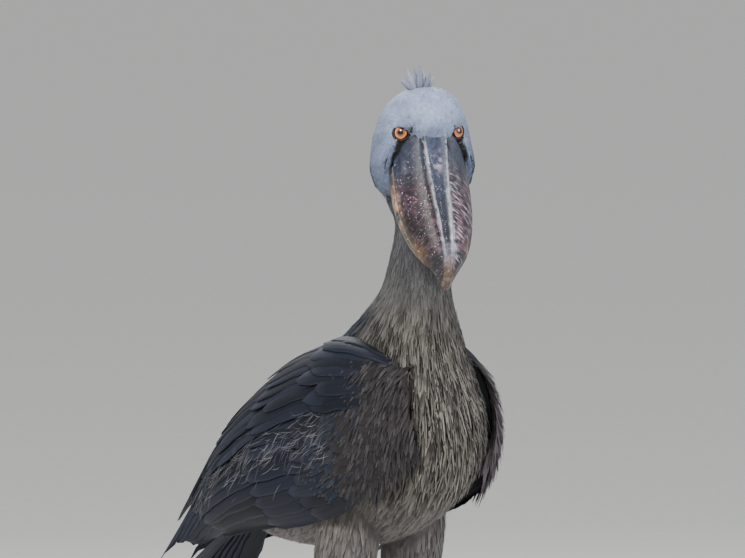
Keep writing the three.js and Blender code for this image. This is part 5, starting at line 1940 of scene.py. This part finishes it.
class ShoebillLegs(bpy.types.PropertyGroup):
    """Colours and sizes of legs and claws."""

    plate_dark: tint("Plates, dark", "Darkest horn plates", "#26262A")
    plate_pale: tint("Plates, pale", "Palest horn plates", "#45444A")
    seam: tint("Seams", "Dusty seams between the plates", "#6A6660")
    claw: tint("Claws", "Dark horn of the claws", "#161414")
    plate_size: bpy.props.FloatProperty(
        name="Plate size", description="Width of one horn plate of the leg", default=3.57 * MM,
        min=1 * MM, unit="LENGTH")


class ShoebillStage(bpy.types.PropertyGroup):
    """Camera and light of the studio."""

    azimuth: bpy.props.FloatProperty(
        name="Azimuth", description="Camera's way round the bird, from straight ahead",
        default=math.radians(-38), subtype="ANGLE", unit="ROTATION")
    elevation: bpy.props.FloatProperty(
        name="Elevation", description="Camera's height over the horizon",
        default=math.radians(4), subtype="ANGLE", unit="ROTATION")
    distance: bpy.props.FloatProperty(
        name="Distance", description="From the camera to the bird", default=9.0, unit="LENGTH")
    brightness: bpy.props.FloatProperty(
        name="Brightness", description="Share of the lamps' power", default=1.0, subtype="FACTOR")
    ambient: bpy.props.FloatProperty(
        name="Ambient", description="Strength of the light from all round", default=0.8, subtype="FACTOR")


class SHOEBILL_OT_skin(bpy.types.Operator):
    """Builds the one skin under the plumage, with its eye sockets"""

    bl_idname = "shoebill.skin"
    bl_label = "Skin"

    def execute(self, context):
        build_skin()
        return {"FINISHED"}


class SHOEBILL_OT_coat(bpy.types.Operator):
    """Builds the feathers of the head, neck, torso and thighs, rooted on the skin"""

    bl_idname = "shoebill.coat"
    bl_label = "Body plumage"

    def execute(self, context):
        skin = bpy.data.objects["skin"]
        lie = Lie()
        head_coat(skin, lie)
        trunk_coat(skin, lie)
        breast_plumes()
        return {"FINISHED"}


class SHOEBILL_OT_wings(bpy.types.Operator):
    """Builds both folded wings"""

    bl_idname = "shoebill.wings"
    bl_label = "Wings"

    def execute(self, context):
        for side, name in SIDES:
            build_wing(side, name)
        return {"FINISHED"}


class SHOEBILL_OT_tail(bpy.types.Operator):
    """Builds the short drooping tail"""

    bl_idname = "shoebill.tail"
    bl_label = "Tail"

    def execute(self, context):
        build_tail()
        return {"FINISHED"}


class SHOEBILL_OT_crest(bpy.types.Operator):
    """Builds the tuft on the back of the crown"""

    bl_idname = "shoebill.crest"
    bl_label = "Crest"

    def execute(self, context):
        build_crest()
        return {"FINISHED"}


class SHOEBILL_OT_bill(bpy.types.Operator):
    """Builds both halves of the bill and the nostrils"""

    bl_idname = "shoebill.bill"
    bl_label = "Bill"

    def execute(self, context):
        build_bill_part("bill_over", UPPER_BILL, UPPER_SECTION, 180, 0.0, "bill_upper")
        build_bill_part("bill_under", LOWER_BILL, LOWER_SECTION, 120, MOUTH_GAP, "bill_lower")
        build_nostrils()
        return {"FINISHED"}


class SHOEBILL_OT_eyes(bpy.types.Operator):
    """Builds both eyes with their lids"""

    bl_idname = "shoebill.eyes"
    bl_label = "Eyes"

    def execute(self, context):
        for side, name in SIDES:
            build_eye(side, name)
            build_lids(side, name)
        return {"FINISHED"}


class SHOEBILL_OT_legs(bpy.types.Operator):
    """Builds both bare legs with their toes and claws"""

    bl_idname = "shoebill.legs"
    bl_label = "Legs"

    def execute(self, context):
        for side, name in SIDES:
            build_shank(side, name)
            build_toes(side, name)
        return {"FINISHED"}


class SHOEBILL_OT_stage(bpy.types.Operator):
    """Builds the floor, the lights and the camera"""

    bl_idname = "shoebill.stage"
    bl_label = "Stage"

    def execute(self, context):
        build_stage(context.scene.shoebill_stage)
        return {"FINISHED"}


GROUPS = {
    "shoebill_plumage": ShoebillPlumage,
    "shoebill_bill": ShoebillBill,
    "shoebill_eyes": ShoebillEyes,
    "shoebill_legs": ShoebillLegs,
    "shoebill_stage": ShoebillStage,
}
OPERATORS = (
    SHOEBILL_OT_skin,
    SHOEBILL_OT_coat,
    SHOEBILL_OT_wings,
    SHOEBILL_OT_tail,
    SHOEBILL_OT_crest,
    SHOEBILL_OT_bill,
    SHOEBILL_OT_eyes,
    SHOEBILL_OT_legs,
    SHOEBILL_OT_stage,
)


class SHOEBILL_PT_panel(bpy.types.Panel):
    """Lists the shoebill's operators and settings"""

    bl_label = "Shoebill"
    bl_idname = "SHOEBILL_PT_panel"
    bl_space_type = "VIEW_3D"
    bl_region_type = "UI"
    bl_category = "Shoebill"

    def draw(self, context):
        for operator in OPERATORS:
            self.layout.operator(operator.bl_idname)
        for name, group in GROUPS.items():
            for key in group.__annotations__:
                self.layout.prop(getattr(context.scene, name), key)


CLASSES = (*GROUPS.values(), *OPERATORS, SHOEBILL_PT_panel)


def register():
    """Registers every class and the scene's settings."""
    for cls in CLASSES:
        bpy.utils.register_class(cls)
    for name, group in GROUPS.items():
        setattr(bpy.types.Scene, name, bpy.props.PointerProperty(type=group))


def unregister():
    """Takes the settings and classes away again."""
    for name in GROUPS:
        delattr(bpy.types.Scene, name)
    for cls in reversed(CLASSES):
        bpy.utils.unregister_class(cls)


def main():
    """Builds the whole bird in order."""
    register()
    bpy.ops.shoebill.skin()
    bpy.ops.shoebill.coat()
    bpy.ops.shoebill.wings()
    bpy.ops.shoebill.tail()
    bpy.ops.shoebill.crest()
    bpy.ops.shoebill.bill()
    bpy.ops.shoebill.eyes()
    bpy.ops.shoebill.legs()
    bpy.ops.shoebill.stage()


if __name__ == "__main__":
    main()
